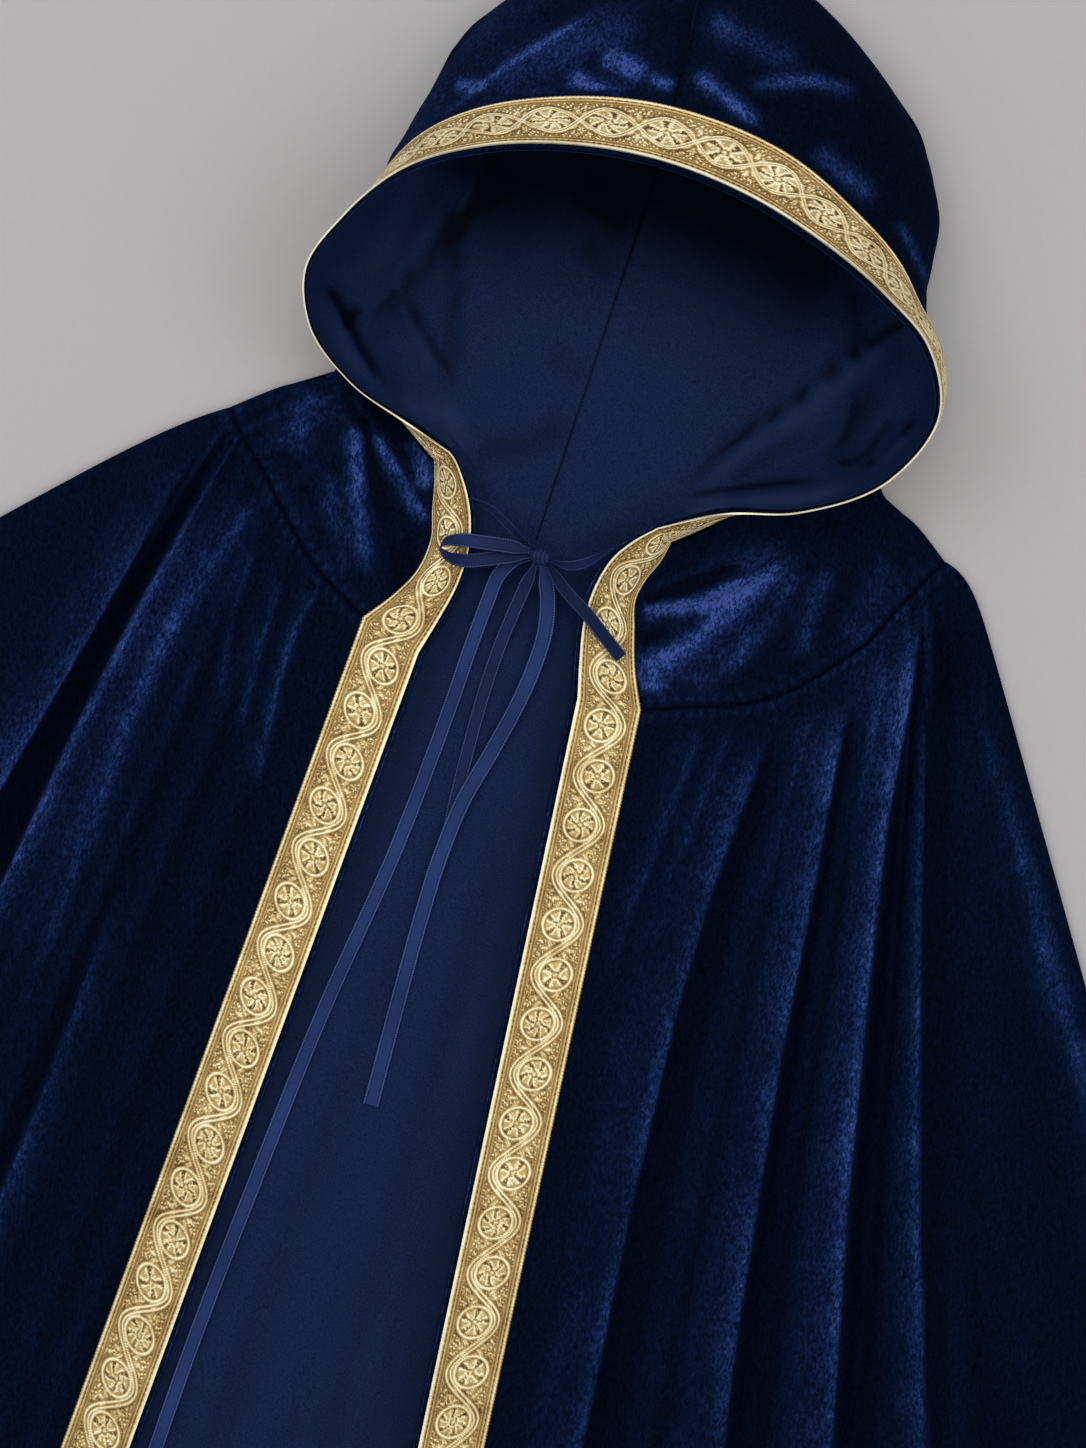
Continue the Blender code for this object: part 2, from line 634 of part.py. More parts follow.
# route of each strand of the tie, from the neck edge or the knot outwards
STRANDS = {
    "tie_left": (
        (-50.4, 20.6, 14.6, 80),
        (-39, 18, 17, 62),
        (-28, 12, 19, 48),
        (-18, 5.5, 20, 62),
        (-9.0, 1.7, 19.8, 80),
    ),
    "tie_right": (
        (2.4, -3.4, 17.9, -60),
        (14, -3.5, 18, -30),
        (24, 1.5, 19, -35),
        (31, 8, 20.5, -70),
        (36.6, 13.2, 21.8, -84),
    ),
    "tie_loop": (
        (-10.6, -0.6, 18.4, 15),
        (-23, -1, 20, 10),
        (-38, -2.5, 21, 10),
        (-52, -4.5, 21, 25),
        (-60, -7.5, 20, 60),
        (-62, -11, 19, 90),
        (-58, -14.5, 18.2, 120),
        (-48, -15.5, 18, 160),
        (-36, -12, 17.5, 172),
        (-23, -7, 16.5, 176),
        (-10.3, -3.1, 15.7, 176),
    ),
    "tie_end_short": (
        (1.0, -5.5, 16.2, -30),
        (15, -18, 16.5, -20),
        (30, -28, 17, -5),
        (43, -38, 14.5, 0),
        (56, -48, 11.5, 0),
    ),
    "tie_tail_long": (
        (-9.8, -4.2, 14.2, 10),
        (-19, -8.5, 12, 10),
        (-25, -18, 10, 0),
        (-28, -36, 7, 0),
        (-31, -62, 4.2, 0),
        (-34, -96, 3.7, 0),
        (-45, -189, 3.7, 0),
        (-63, -289, 3.7, 0),
        (-78, -397, 3.7, 0),
        (-91, -503, 3.7, 0),
        (-103, -640, 3.7, 0),
    ),
    "tie_tail_under": (
        (-5.6, -6.5, 14.7, 0),
        (-8.6, -21, 11, 0),
        (-12, -40, 7.5, 0),
        (-15, -61, 4.6, 0),
        (-17, -85, 3.7, 0),
        (-18, -123, 3.7, 0),
        (-18, -150, 3.7, 0),
        (-17, -182, 3.7, 0),
    ),
    "tie_tail_over": (
        (-1.8, -6.6, 15.1, 0),
        (5, -22, 12.5, 0),
        (9, -43, 9, 0),
        (8, -64, 7, 0),
        (4, -88, 6, 0),
        (-3, -115, 5.4, 0),
        (-14, -154, 5.3, 0),
        (-19, -190, 5.1, 0),
        (-21, -226, 3.8, 0),
        (-22, -270, 3.7, 0),
        (-23, -338, 3.7, 0),
    ),
}
STRAND_SPACING = 9.0


def ribbon(name, colour):
    # flat strip along a strand's smooth route
    table = STRANDS[name]
    points = read_points(table, STRAND_COLUMNS, ("x", "y", "z"))
    knots = lengths(points)
    count = max(int(knots[-1] / STRAND_SPACING), 6) + 1
    places = np.linspace(0.0, knots[-1], count)
    route = through(knots, points, places)
    twist = np.radians(through(knots, read(table, STRAND_COLUMNS, "twist"), places))
    tangent = np.gradient(route, axis=0)
    tangent /= np.linalg.norm(tangent, axis=1)[:, None]
    level = np.column_stack([-tangent[:, 1], tangent[:, 0], tangent[:, 0] * 0.0])
    level /= np.linalg.norm(level, axis=1)[:, None]
    rise = np.cross(tangent, level)
    aside = level * np.cos(twist)[:, None] + rise * np.sin(twist)[:, None]
    normal = np.cross(tangent, aside)
    knot = np.array([KNOT["x"], KNOT["y"], KNOT["z"]])
    near = np.linalg.norm(route - knot, axis=1)
    open_share = smooth(*RIBBON_WIDENS, near)[:, None]
    width = RIBBON_WIDTH * (RIBBON_PINCH + (1.0 - RIBBON_PINCH) * open_share)
    face = np.stack([route + aside * width * side + normal * RIBBON * 0.5 for side in (-0.5, 0.5)], axis=1)
    back = np.stack([route + aside * width * side - normal * RIBBON * 0.5 for side in (-0.5, 0.5)], axis=1)
    cloth(name, face, back, colour, 0.45)


def knot(name, colour):
    mesh = bmesh.new()
    bmesh.ops.create_uvsphere(mesh, u_segments=KNOT_SEGMENTS, v_segments=KNOT_RINGS, radius=0.5)
    for vert in mesh.verts:
        vert.co.x *= KNOT["long"]
        vert.co.y *= KNOT["across"]
        vert.co.z *= KNOT["high"]
        vert.co.x += KNOT["x"]
        vert.co.y += KNOT["y"]
        vert.co.z += KNOT["z"]
        vert.co *= MM
    finish(name, mesh, colour, 0.45, 0.0)


def hood(side, velvet, satin, gold):
    grid, normal = hood_layers(side)
    normal[0 if side == "left" else -1, :len(TRIM_STEPS)] = neck_normals(side)
    inner = VELVET + SEAM
    cloth("hood_" + side, grid, grid - normal * VELVET, velvet, 0.9)
    cloth("hood_lining_" + side, grid - normal * inner, grid - normal * (inner + LINING), satin, 0.5)
    band = grid[:, 1:len(TRIM_STEPS)]
    lift = normal[:, 1:len(TRIM_STEPS)]
    cloth("trim_hood_" + side, band + lift * (SEAM + TRIM), band + lift * SEAM, gold, 0.35, 0.8)


def body(side, velvet, gold):
    front = front_grid(side)
    yoke = yoke_grid(side)
    front_normal = laid_normals(front, (0,))
    yoke_normal = laid_normals(yoke, (-1,))
    yoke_normal[0, :len(TRIM_STEPS)] = neck_normals(side)
    cloth("front_" + side, front, under_side(front, front_normal), velvet, 0.9)
    inward = yoke_normal.copy()
    inward[0, len(TRIM_STEPS) - 1] = (0.0, 0.0, 1.0)
    cloth("yoke_" + side, yoke, under_side(yoke, inward), velvet, 0.9)
    used = slice(1, len(TRIM_STEPS))
    band = np.vstack([yoke[:, used], front[1:, used]])
    lift = np.vstack([yoke_normal[:, used], front_normal[1:, used]])
    cloth("trim_front_" + side, band + lift * (SEAM + TRIM), band + lift * SEAM, gold, 0.35, 0.8)
    return front


def below_neck(side):
    # the neck seam's direction from the centre in plan, and the way down the garment from it
    centre, direction = neck_line(side)
    down = np.array([direction[1], -direction[0]]) * (1.0 if direction[0] > 0.0 else -1.0)
    return centre, direction, down


def back_top(side):
    # upper edge of the back from the shoulder corner to the centre of the neck, in plan
    meets = SHOULDERS[side]["meets_row"]
    last = len(HOOD_ROWS) - 1
    rows = np.linspace(meets, 0.0 if side == "left" else last, BACK_STOPS)
    base = hood_base(rows, np.full(len(rows), VELVET + SEAM), BACK_CLEAR)
    centre, direction, down = below_neck(side)
    foot = hood_sections(rows[-1:])[0][0, -1, :2]
    under_foot = centre + direction * float(np.dot(foot - centre, direction)) + down * SEAM
    fold = shoulder_fold(side)[::-1]
    return np.vstack([fold[:-1], base, under_foot[None], (centre + down * SEAM)[None]])


def plate(name, outline, low, high, colour, roughness):
    # flat piece of cloth from its outline
    mesh = bmesh.new()
    flat = [Vector((x, y, 0.0)) for x, y in outline]
    top = [mesh.verts.new((x * MM, y * MM, high * MM)) for x, y in outline]
    under = [mesh.verts.new((x * MM, y * MM, low * MM)) for x, y in outline]
    for a, b, c in geometry.tessellate_polygon([flat]):
        mesh.faces.new((top[a], top[b], top[c]))
        mesh.faces.new((under[c], under[b], under[a]))
    for k in range(len(outline)):
        m = (k + 1) % len(outline)
        mesh.faces.new((top[k], top[m], under[m], under[k]))
    bmesh.ops.recalc_face_normals(mesh, faces=mesh.faces)
    finish(name, mesh, colour, roughness, 0.0)


def back(fronts, velvet, satin):
    left, right = fronts["left"], fronts["right"]
    top = np.vstack([back_top("left"), back_top("right")[::-1]])
    hem = np.vstack([right[-1, ::-1, :2], left[-1, :, :2]])
    outline = np.vstack([top[:-1], right[:-1, -1, :2], hem, left[-2:0:-1, -1, :2]])
    plate("back", outline, 0.0, VELVET, velvet, 0.9)

    sides = {}
    for side in ("left", "right"):
        away = yoke_seam(side)[3]
        centre, direction, down = below_neck(side)
        corner = centre + direction * LINING_NECK_REACH + down * SEAM
        line = fronts[side][:, 0, :2] + away * LINING_UNDER_FRONT
        line[-1, 1] += LINING_SHORTER
        sides[side] = np.vstack([(centre + down * SEAM)[None], corner[None], line])
    middle = np.array([[centre[0], centre[1] - CLOAK_LENGTH + LINING_SHORTER]])
    outline = np.vstack([sides["left"][1:], middle, sides["right"][::-1]])
    low = VELVET + SEAM
    plate("back_lining", outline, low, low + LINING, satin, 0.5)


def main():
    for item in list(bpy.data.objects):
        bpy.data.objects.remove(item, do_unlink=True)
    navy = (0.008, 0.018, 0.075)
    satin = (0.012, 0.025, 0.09)
    tie = (0.02, 0.035, 0.12)
    gold = (0.62, 0.42, 0.16)
    fronts = {}
    for side in ("left", "right"):
        hood(side, navy, satin, gold)
        fronts[side] = body(side, navy, gold)
    back(fronts, navy, satin)
    for name in STRANDS:
        ribbon(name, tie)
    knot("tie_knot", tie)


if __name__ == "__main__":
    main()
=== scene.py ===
import math
import bpy
import numpy as np
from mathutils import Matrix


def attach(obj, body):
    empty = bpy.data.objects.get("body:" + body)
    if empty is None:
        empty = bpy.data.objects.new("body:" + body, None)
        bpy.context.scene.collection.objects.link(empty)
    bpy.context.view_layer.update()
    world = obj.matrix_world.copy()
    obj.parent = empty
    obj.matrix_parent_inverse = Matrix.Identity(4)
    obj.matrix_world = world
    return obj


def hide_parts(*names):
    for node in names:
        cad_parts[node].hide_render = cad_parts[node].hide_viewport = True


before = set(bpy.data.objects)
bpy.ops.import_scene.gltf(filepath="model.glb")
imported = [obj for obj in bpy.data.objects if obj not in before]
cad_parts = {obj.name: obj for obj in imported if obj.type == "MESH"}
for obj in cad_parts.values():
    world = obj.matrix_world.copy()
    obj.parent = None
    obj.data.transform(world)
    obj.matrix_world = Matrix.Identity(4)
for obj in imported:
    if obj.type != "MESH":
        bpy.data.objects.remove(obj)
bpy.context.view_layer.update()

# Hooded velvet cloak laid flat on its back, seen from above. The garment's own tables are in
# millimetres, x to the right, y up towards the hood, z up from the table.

mm = 0.001
sideNames = ("left", "right")
bpy.ops.object.select_all(action="DESELECT")
print("frame loaded:", len(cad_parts), "pieces")


# the photograph's camera, straight above the table and turned with the garment
cameraView = {"place": (0.02105, -0.0966, 1.9), "turn": 14.0, "lens": 80.3, "clipStart": 0.05}
bpy.ops.object.camera_add(location=cameraView["place"], rotation=(0, 0, math.radians(cameraView["turn"])))
camera = bpy.context.object
camera.name = "camera"
camera.data.lens = cameraView["lens"]
camera.data.clip_start = cameraView["clipStart"]
bpy.context.scene.camera = camera
bpy.context.scene.view_settings.view_transform = "Standard"


# thicknesses of the cloth and gaps at its seams
cloth = {"velvet": 1.5, "lining": 1.0, "trim": 0.9, "ribbon": 0.6, "seam": 0.3, "neckSeam": 0.5}
# the strip by each edge that the woven band covers; at the neck it turns under and shows less
band = {"start": 3.0, "end": 41.0, "width": 38.0, "neckShare": 0.46, "neckLength": 60.0}
# heights of the cloth as it lies, the roll of its side fold, and the length from neck to hem
laid = {"top": 4.8, "foldTop": 3.4, "under": 3.15, "foldUnder": 1.8, "foldRadius": 16.0, "length": 1300.0}

# hood sections from the left of the neck over the forehead to the right: rim, heading and reach
# of the wall's handle, its height, how far it bellies past the foot, the foot, the centre seam
hoodColumns = ("x", "y", "z", "heading", "reach", "rise", "tuck", "footX", "footY", "spineY")
hoodRows = (
    (-69, 45, 26, 226, 16, 23, 17, -68, 51, 4),
    (-83, 50, 32, 240, 8, 26, 20, -82, 61, 20),
    (-134, 67, 48, 240, -4, 30, 36, -106, 98, 56),
    (-163, 92, 60, 212, -4, 34, 40, -120, 112, 80),
    (-172, 121, 68, 180, -2, 38, 42, -126, 128, 106),
    (-157, 155, 78, 156, 2, 44, 30, -126, 150, 136),
    (-132, 184, 88, 142, 14, 52, 44, -118, 182, 166),
    (-90, 205, 100, 126, 40, 62, 75, -98, 230, 210),
    (-42, 217, 105, 108, 70, 55, 120, -54, 283, 246),
    (9, 220, 107, 91, 110, 51, 130, 7, 310, 268),
    (58, 214, 103, 72, 95, 64, 124, 74, 286, 248),
    (106, 200, 97, 54, 62, 46, 104, 124, 240, 218),
    (150, 181, 86, 36, 28, 46, 52, 146, 192, 184),
    (178, 163, 78, 20, 16, 46, 58, 156, 160, 156),
    (196, 128, 67, -2, 4, 40, 60, 150, 128, 122),
    (179, 86, 60, -36, -4, 34, 40, 140, 104, 90),
    (134, 57, 50, -66, 0, 30, 30, 116, 86, 62),
    (88, 47, 35, -62, 10, 28, 20, 86, 60, 26),
    (57, 31, 28, -42, 16, 26, 16, 60, 37, 4),
)
lastRow = len(hoodRows) - 1
foreheadRow = 9
centreSeam = {"x": -9.6, "drift": 0.074, "limit": 8.0, "neckY": 4.0}
# the hood's grid: points on a section, rows of a half, columns in the band, wall and floor
hoodGrid = {"linePoints": 161, "rows": 220, "rowPower": 1.1, "edgeStops": (0.0, 0.5, 1.2), "bandColumns": 14,
            "wallColumns": 52, "floorColumns": 26, "floorPower": 1.7, "leastSlant": 0.75, "hair": 0.004}

# yoke: front edge and far edge of the trim's strip, the seam below, the shoulder fold
stripColumns = ("edgeX", "edgeY", "edgeZ", "farX", "farY", "farZ")
strips = {
    "left": (
        (-58, 33, 20, -74, 26, 11),
        (-48, 14, 14.5, -72, 10, 7),
        (-44, -4, 12, -69, -6, 5),
        (-45, -29, 8.5, -73, -28, 5),
        (-51, -54, 6, -82, -43, 5),
        (-57, -75, 4.8, -97, -61, 4.8),
    ),
    "right": (
        (45, 21, 25, 64, 12, 12),
        (36, 10, 21.5, 59, 1, 9),
        (29, -9, 16.5, 56, -12, 6.5),
        (27, -32, 10.5, 60, -31, 5),
        (30, -55, 7, 66, -53, 5),
        (34, -77, 4.8, 75, -75, 4.8),
    ),
}
edgeStart = {"left": ((-66.4, 43.2, 25.3),), "right": ()}    # one more point where the edge leaves the hood
yokeSeams = {
    "left": ((-97, -61), (-114, -51), (-134, -37), (-152, -18), (-173, 6), (-192, 26), (-203, 39)),
    "right": ((75, -75), (100, -67), (127, -59), (153, -46), (177, -24), (194, -5), (209, 23), (227, 53)),
}
shoulders = {
    "left": {"points": ((-203, 39), (-177, 58), (-148, 75)), "meetsRow": 3.15},
    "right": {"points": ((227, 53), (205, 70), (184, 81)), "meetsRow": 14.8},
}
yokeShape = {"neck": 5.6, "neckEnd": 12.0, "clear": 3.6, "swell": 4.0}

# fronts: lines from the yoke seam to the hem, and the pleats between them
ribColumns = ("across", "lean", "bow", "ease")
ribs = {
    "left": (
        (0.00, -6.0, 0, 60),
        (0.25, -6.6, 0, 60),
        (0.50, -8.0, -1, 60),
        (0.75, -10.5, -3, 60),
        (0.90, -13.0, -4, 50),
        (0.97, -17.0, -6, 45),
        (0.99, -30.0, -8, 40),
        (1.00, -47.0, -9, 35),
    ),
    "right": (
        (0.00, 2.0, 0, 60),
        (0.25, 2.2, 0, 60),
        (0.47, 2.6, 3, 90),
        (0.70, 5.5, 4, 80),
        (0.88, 10.0, 5, 110),
        (0.94, 14.5, 2, 60),
        (0.98, 26.0, 6, 30),
        (1.00, 29.5, 13, 12),
    ),
}
pleatColumns = ("across", "height", "near", "far", "grows")
pleats = {
    "left": (
        (0.22, 5, 0.10, 0.10, 160),
        (0.42, 7, 0.08, 0.09, 140),
        (0.60, 9, 0.07, 0.06, 120),
        (0.76, 8, 0.06, 0.05, 90),
        (0.88, 14, 0.05, 0.02, 60),
        (0.95, 12, 0.03, 0.03, 60),
    ),
    "right": (
        (0.18, 5, 0.08, 0.08, 160),
        (0.45, 9, 0.09, 0.05, 90),
        (0.68, 10, 0.08, 0.05, 90),
        (0.86, 16, 0.07, 0.02, 60),
        (0.925, 10, 0.02, 0.03, 60),
        (0.965, 9, 0.02, 0.02, 80),
    ),
}


def readColumn(table, columns, name):
    return np.array([row[columns.index(name)] for row in table], float)


def readPoints(table, columns, names):
    return np.column_stack([readColumn(table, columns, name) for name in names])


def through(knots, values, places):
    # smooth curve through a table's values
    knots = np.asarray(knots, float)
    values = np.asarray(values, float)
    flat = values.ndim == 1
    if flat:
        values = values[:, None]
    places = np.clip(np.asarray(places, float), knots[0], knots[-1])
    step = np.diff(knots)
    slope = np.diff(values, axis=0) / step[:, None]
    before, after = step[:-1, None], step[1:, None]
    inner = (slope[:-1] * after + slope[1:] * before) / (before + after)
    tangent = np.vstack([slope[:1], inner, slope[-1:]])
    index = np.clip(np.searchsorted(knots, places, side="right") - 1, 0, len(knots) - 2)
    width = step[index][..., None]
    u = ((places - knots[index]) / step[index])[..., None]
    result = (
        values[index] * (2 * u**3 - 3 * u**2 + 1)
        + tangent[index] * width * (u**3 - 2 * u**2 + u)
        + values[index + 1] * (3 * u**2 - 2 * u**3)
        + tangent[index + 1] * width * (u**3 - u**2)
    )
    return result[..., 0] if flat else result


def eased(low, high, value):
    u = np.clip((np.asarray(value, float) - low) / (high - low), 0.0, 1.0)
    return u * u * (3.0 - 2.0 * u)


def lengths(points):
    step = np.linalg.norm(np.diff(np.asarray(points, float), axis=0), axis=1)
    return np.concatenate([[0.0], np.cumsum(step)])


def pathAt(points, shares):
    knots = lengths(points)
    return through(knots, points, np.asarray(shares, float) * knots[-1])


def unit(vectors):
    return vectors / np.maximum(np.linalg.norm(vectors, axis=-1), 1e-9)[..., None]


def seamX(y):
    return np.minimum(centreSeam["x"] + centreSeam["drift"] * np.asarray(y, float), centreSeam["limit"])


hoodTable = {name: readColumn(hoodRows, hoodColumns, name) for name in hoodColumns}
rimKnots = lengths(readPoints(hoodRows, hoodColumns, ("x", "y", "z")))
rimLength = rimKnots[-1]


def rimRun(rows):
    return np.interp(rows, np.arange(lastRow + 1), rimKnots)


def rowsAt(run):
    return np.interp(run, rimKnots, np.arange(lastRow + 1))


def fromCentre(rows):
    # distance from the centre seam, along the rim
    return np.abs(rimRun(rows) - rimRun(foreheadRow))


def pastNeck(rows):
    # 0 at the two ends of the rim, 1 once the neck is passed
    run = rimRun(rows)
    return eased(0.0, band["neckLength"], np.minimum(run, rimLength - run))


def bandShare(rows):
    return band["neckShare"] + (1.0 - band["neckShare"]) * pastNeck(rows)


def hoodSections(rows):
    # dense lines down the hood's wall, from the rim to the foot
    value = {name: through(rimKnots, hoodTable[name], rimRun(rows)) for name in hoodColumns}
    heading = np.radians(value["heading"])
    level = heading * 0.0
    leaving = np.column_stack([np.cos(heading), np.sin(heading), level])
    rim = np.column_stack([value["x"], value["y"], value["z"]])
    first = np.column_stack([rim[:, :2] + leaving[:, :2] * value["reach"][:, None], value["rise"]])
    foot = np.column_stack([value["footX"], value["footY"], level])
    spine = np.column_stack([seamX(value["spineY"]), value["spineY"], level])
    outward = unit(foot - spine)
    outward = unit(outward + (leaving - outward) * (1.0 - pastNeck(rows)[:, None]))
    second = foot + outward * value["tuck"][:, None]
    u = np.linspace(0.0, 1.0, hoodGrid["linePoints"])[None, :, None]
    wall = (
        rim[:, None] * (1 - u) ** 3
        + first[:, None] * 3 * (1 - u) ** 2 * u
        + second[:, None] * 3 * (1 - u) * u**2
        + foot[:, None] * u**3
    )
    return wall, spine


def hoodSurface(rows, bandStops, wallSteps=0, floorSteps=0, seamShift=0.0):
    # outer face of the hood and how far each point lies from the rim
    wall, spine = hoodSections(rows)
    nudge = 0.02
    clipped = np.clip(rows, 1.5 * nudge, lastRow - 1.5 * nudge)
    tangent = unit(hoodSections(clipped + nudge)[0][:, 0] - hoodSections(clipped - nudge)[0][:, 0])
    grid, runs = [], []
    for line, end, along, share in zip(wall, spine, tangent, bandShare(rows)):
        run = lengths(line)
        slant = np.linalg.norm(np.cross(unit(line[1] - line[0]), along))
        stops = np.asarray(bandStops, float) / max(slant, hoodGrid["leastSlant"]) * share
        if wallSteps:
            stops = np.concatenate([stops, np.linspace(stops[-1], run[-1], wallSteps + 1)[1:]])
        down = np.column_stack([np.interp(stops, run, line[:, k]) for k in range(3)])
        if floorSteps:
            down[-1, 2] = 0.0
            ahead = 1.0 - np.arange(1, floorSteps + 1)[:, None] / floorSteps
            reach = end + np.array([seamShift, 0.0, 0.0]) - down[-1]
            floor = down[-1] + reach * (1.0 - ahead ** hoodGrid["floorPower"])
            floor[:, 2] = 0.0
            stops = np.concatenate([stops, stops[-1] + np.linalg.norm(floor - down[-1], axis=1)])
            down = np.vstack([down, floor])
        grid.append(down)
        runs.append(stops)
    return np.array(grid), np.array(runs)


def gridNormals(grid):
    return unit(np.cross(np.gradient(grid, axis=0), np.gradient(grid, axis=1)))


def upwardNormals(grid):
    normal = gridNormals(grid)
    return normal * np.where(normal[..., 2:] < 0.0, -1.0, 1.0)


def halfEnds(side, hair):
    # ends of a hood half along the rim, a hair off the centre seam
    return rimRun((0.0, foreheadRow - hair) if side == "left" else (foreheadRow + hair, lastRow))


def halfRows(side):
    # rows of one hood half, closer together at the neck
    steps = np.linspace(0.0, 1.0, hoodGrid["rows"] + 1) ** hoodGrid["rowPower"]
    if side == "right":
        steps = 1.0 - steps[::-1]
    start, end = halfEnds(side, hoodGrid["hair"])
    return rowsAt(start + (end - start) * steps)


def hoodNormals(rows, grid, floorColumns=0):
    # outward normals, level across the centre seam and straight down on the floor
    normal = gridNormals(grid)
    normal[..., 0] *= eased(0.0, 8.0, fromCentre(rows))[:, None]
    normal = unit(normal)
    if floorColumns:
        normal[:, -floorColumns - 1:] = (0.0, 0.0, -1.0)
    return normal


def hoodBase(rows, heights, clear):
    wall, spine = hoodSections(rows)
    points = []
    for line, height in zip(wall, heights):
        upward = line[::-1]
        points.append(upward[int(np.argmax(upward[:, 2] >= height)), :2])
    points = np.array(points)
    along = np.gradient(points, axis=0)
    aside = np.column_stack([along[:, 1], -along[:, 0]])
    aside *= np.sign(np.sum(aside * (points - spine[:, :2])))
    return points + unit(aside) * clear


def neckLine(side):
    # the neck's middle, and the way from it to the hood's foot on one side
    row = dict(zip(hoodColumns, hoodRows[0] if side == "left" else hoodRows[-1]))
    centre = np.array([float(seamX(centreSeam["neckY"])), centreSeam["neckY"]])
    return centre, unit(np.array([row["footX"], row["footY"]], float) - centre)


def straight(lean):
    # down the cloak, leaning by so many degrees
    turn = np.radians(lean)
    return np.stack([np.sin(turn), -np.cos(turn)], axis=-1)


def yokeSeam(side):
    edge = np.array(strips[side][-1][:2], float)
    along = straight(ribs[side][0][1])
    away = np.array([along[1], -along[0]]) if side == "left" else np.array([-along[1], along[0]])
    points = np.array(yokeSeams[side], float)
    points[0] = edge + away * band["end"] + along * float(np.dot(points[0] - edge, along))
    return points, edge, along, away


def pleatHeight(side, across, distance):
    # low swells where the solid has its pleats
    total = np.zeros(np.broadcast(across, distance).shape)
    for row in pleats[side]:
        pleat = dict(zip(pleatColumns, row))
        reach = np.where(across < pleat["across"], pleat["near"], pleat["far"])
        share = np.minimum(np.abs(across - pleat["across"]) / reach, 1.0)
        shape = 0.5 + 0.5 * np.cos(math.pi * share ** 0.85)
        total = total + 0.45 * pleat["height"] * shape * (0.3 + 0.7 * eased(0.0, pleat["grows"], distance))
    return total


def rounded(distance, radius):
    share = np.clip(np.asarray(distance, float) / radius, 0.0, 1.0)
    return np.sqrt(np.maximum(1.0 - (1.0 - share) ** 2, 0.0))


def frontSurface(side, offsets, columns, shares):
    # top face of a front panel: rows from the yoke seam to the hem; offsets lie in the straight
    # strip by the front edge, columns are places along the yoke seam
    seam, edge, along, away = yokeSeam(side)
    columns, offsets = np.asarray(columns, float), np.asarray(offsets, float)
    shares = np.asarray(shares)[:, None]
    neck, _ = neckLine(side)
    shift = float(np.dot(seam[0] - edge, along))
    starts = edge + away * offsets[:, None] + along * (shift * offsets / band["end"])[:, None]
    reach = (laid["length"] - np.linalg.norm(starts - neck, axis=1)) * shares
    stripPlan = starts[None] + along * reach[..., None]
    strip = np.dstack([stripPlan, np.full(reach.shape, laid["top"])])
    if not len(columns):
        return strip, reach
    lean, bow, ease = (np.interp(columns, *readPoints(ribs[side], ribColumns, ("across", name)).T)
                       for name in ribColumns[1:])
    begin = pathAt(seam, columns)
    far = (laid["length"] - np.linalg.norm(begin - neck, axis=1)) * shares
    direction = straight(lean)
    aside = np.column_stack([-direction[:, 1], direction[:, 0]])
    swing = bow * (1.0 - np.exp(-far / ease))
    plan = begin[None] + direction[None] * far[..., None] + aside[None] * swing[..., None]
    height = laid["top"] + pleatHeight(side, columns[None], far)
    return np.hstack([strip, np.dstack([plan, height])]), np.hstack([reach, far])


def neckEdge(side):
    rows = np.linspace(0.0 if side == "left" else lastRow, shoulders[side]["meetsRow"], 40)
    atEnd = 1.0 - eased(0.3, 1.8, np.abs(rows - rows[0]))
    heights = yokeShape["neck"] + (yokeShape["neckEnd"] - yokeShape["neck"]) * atEnd
    return hoodBase(rows, heights, yokeShape["clear"])


def shoulderFold(side):
    return np.vstack([neckEdge(side)[-1:], np.array(shoulders[side]["points"][::-1], float)])


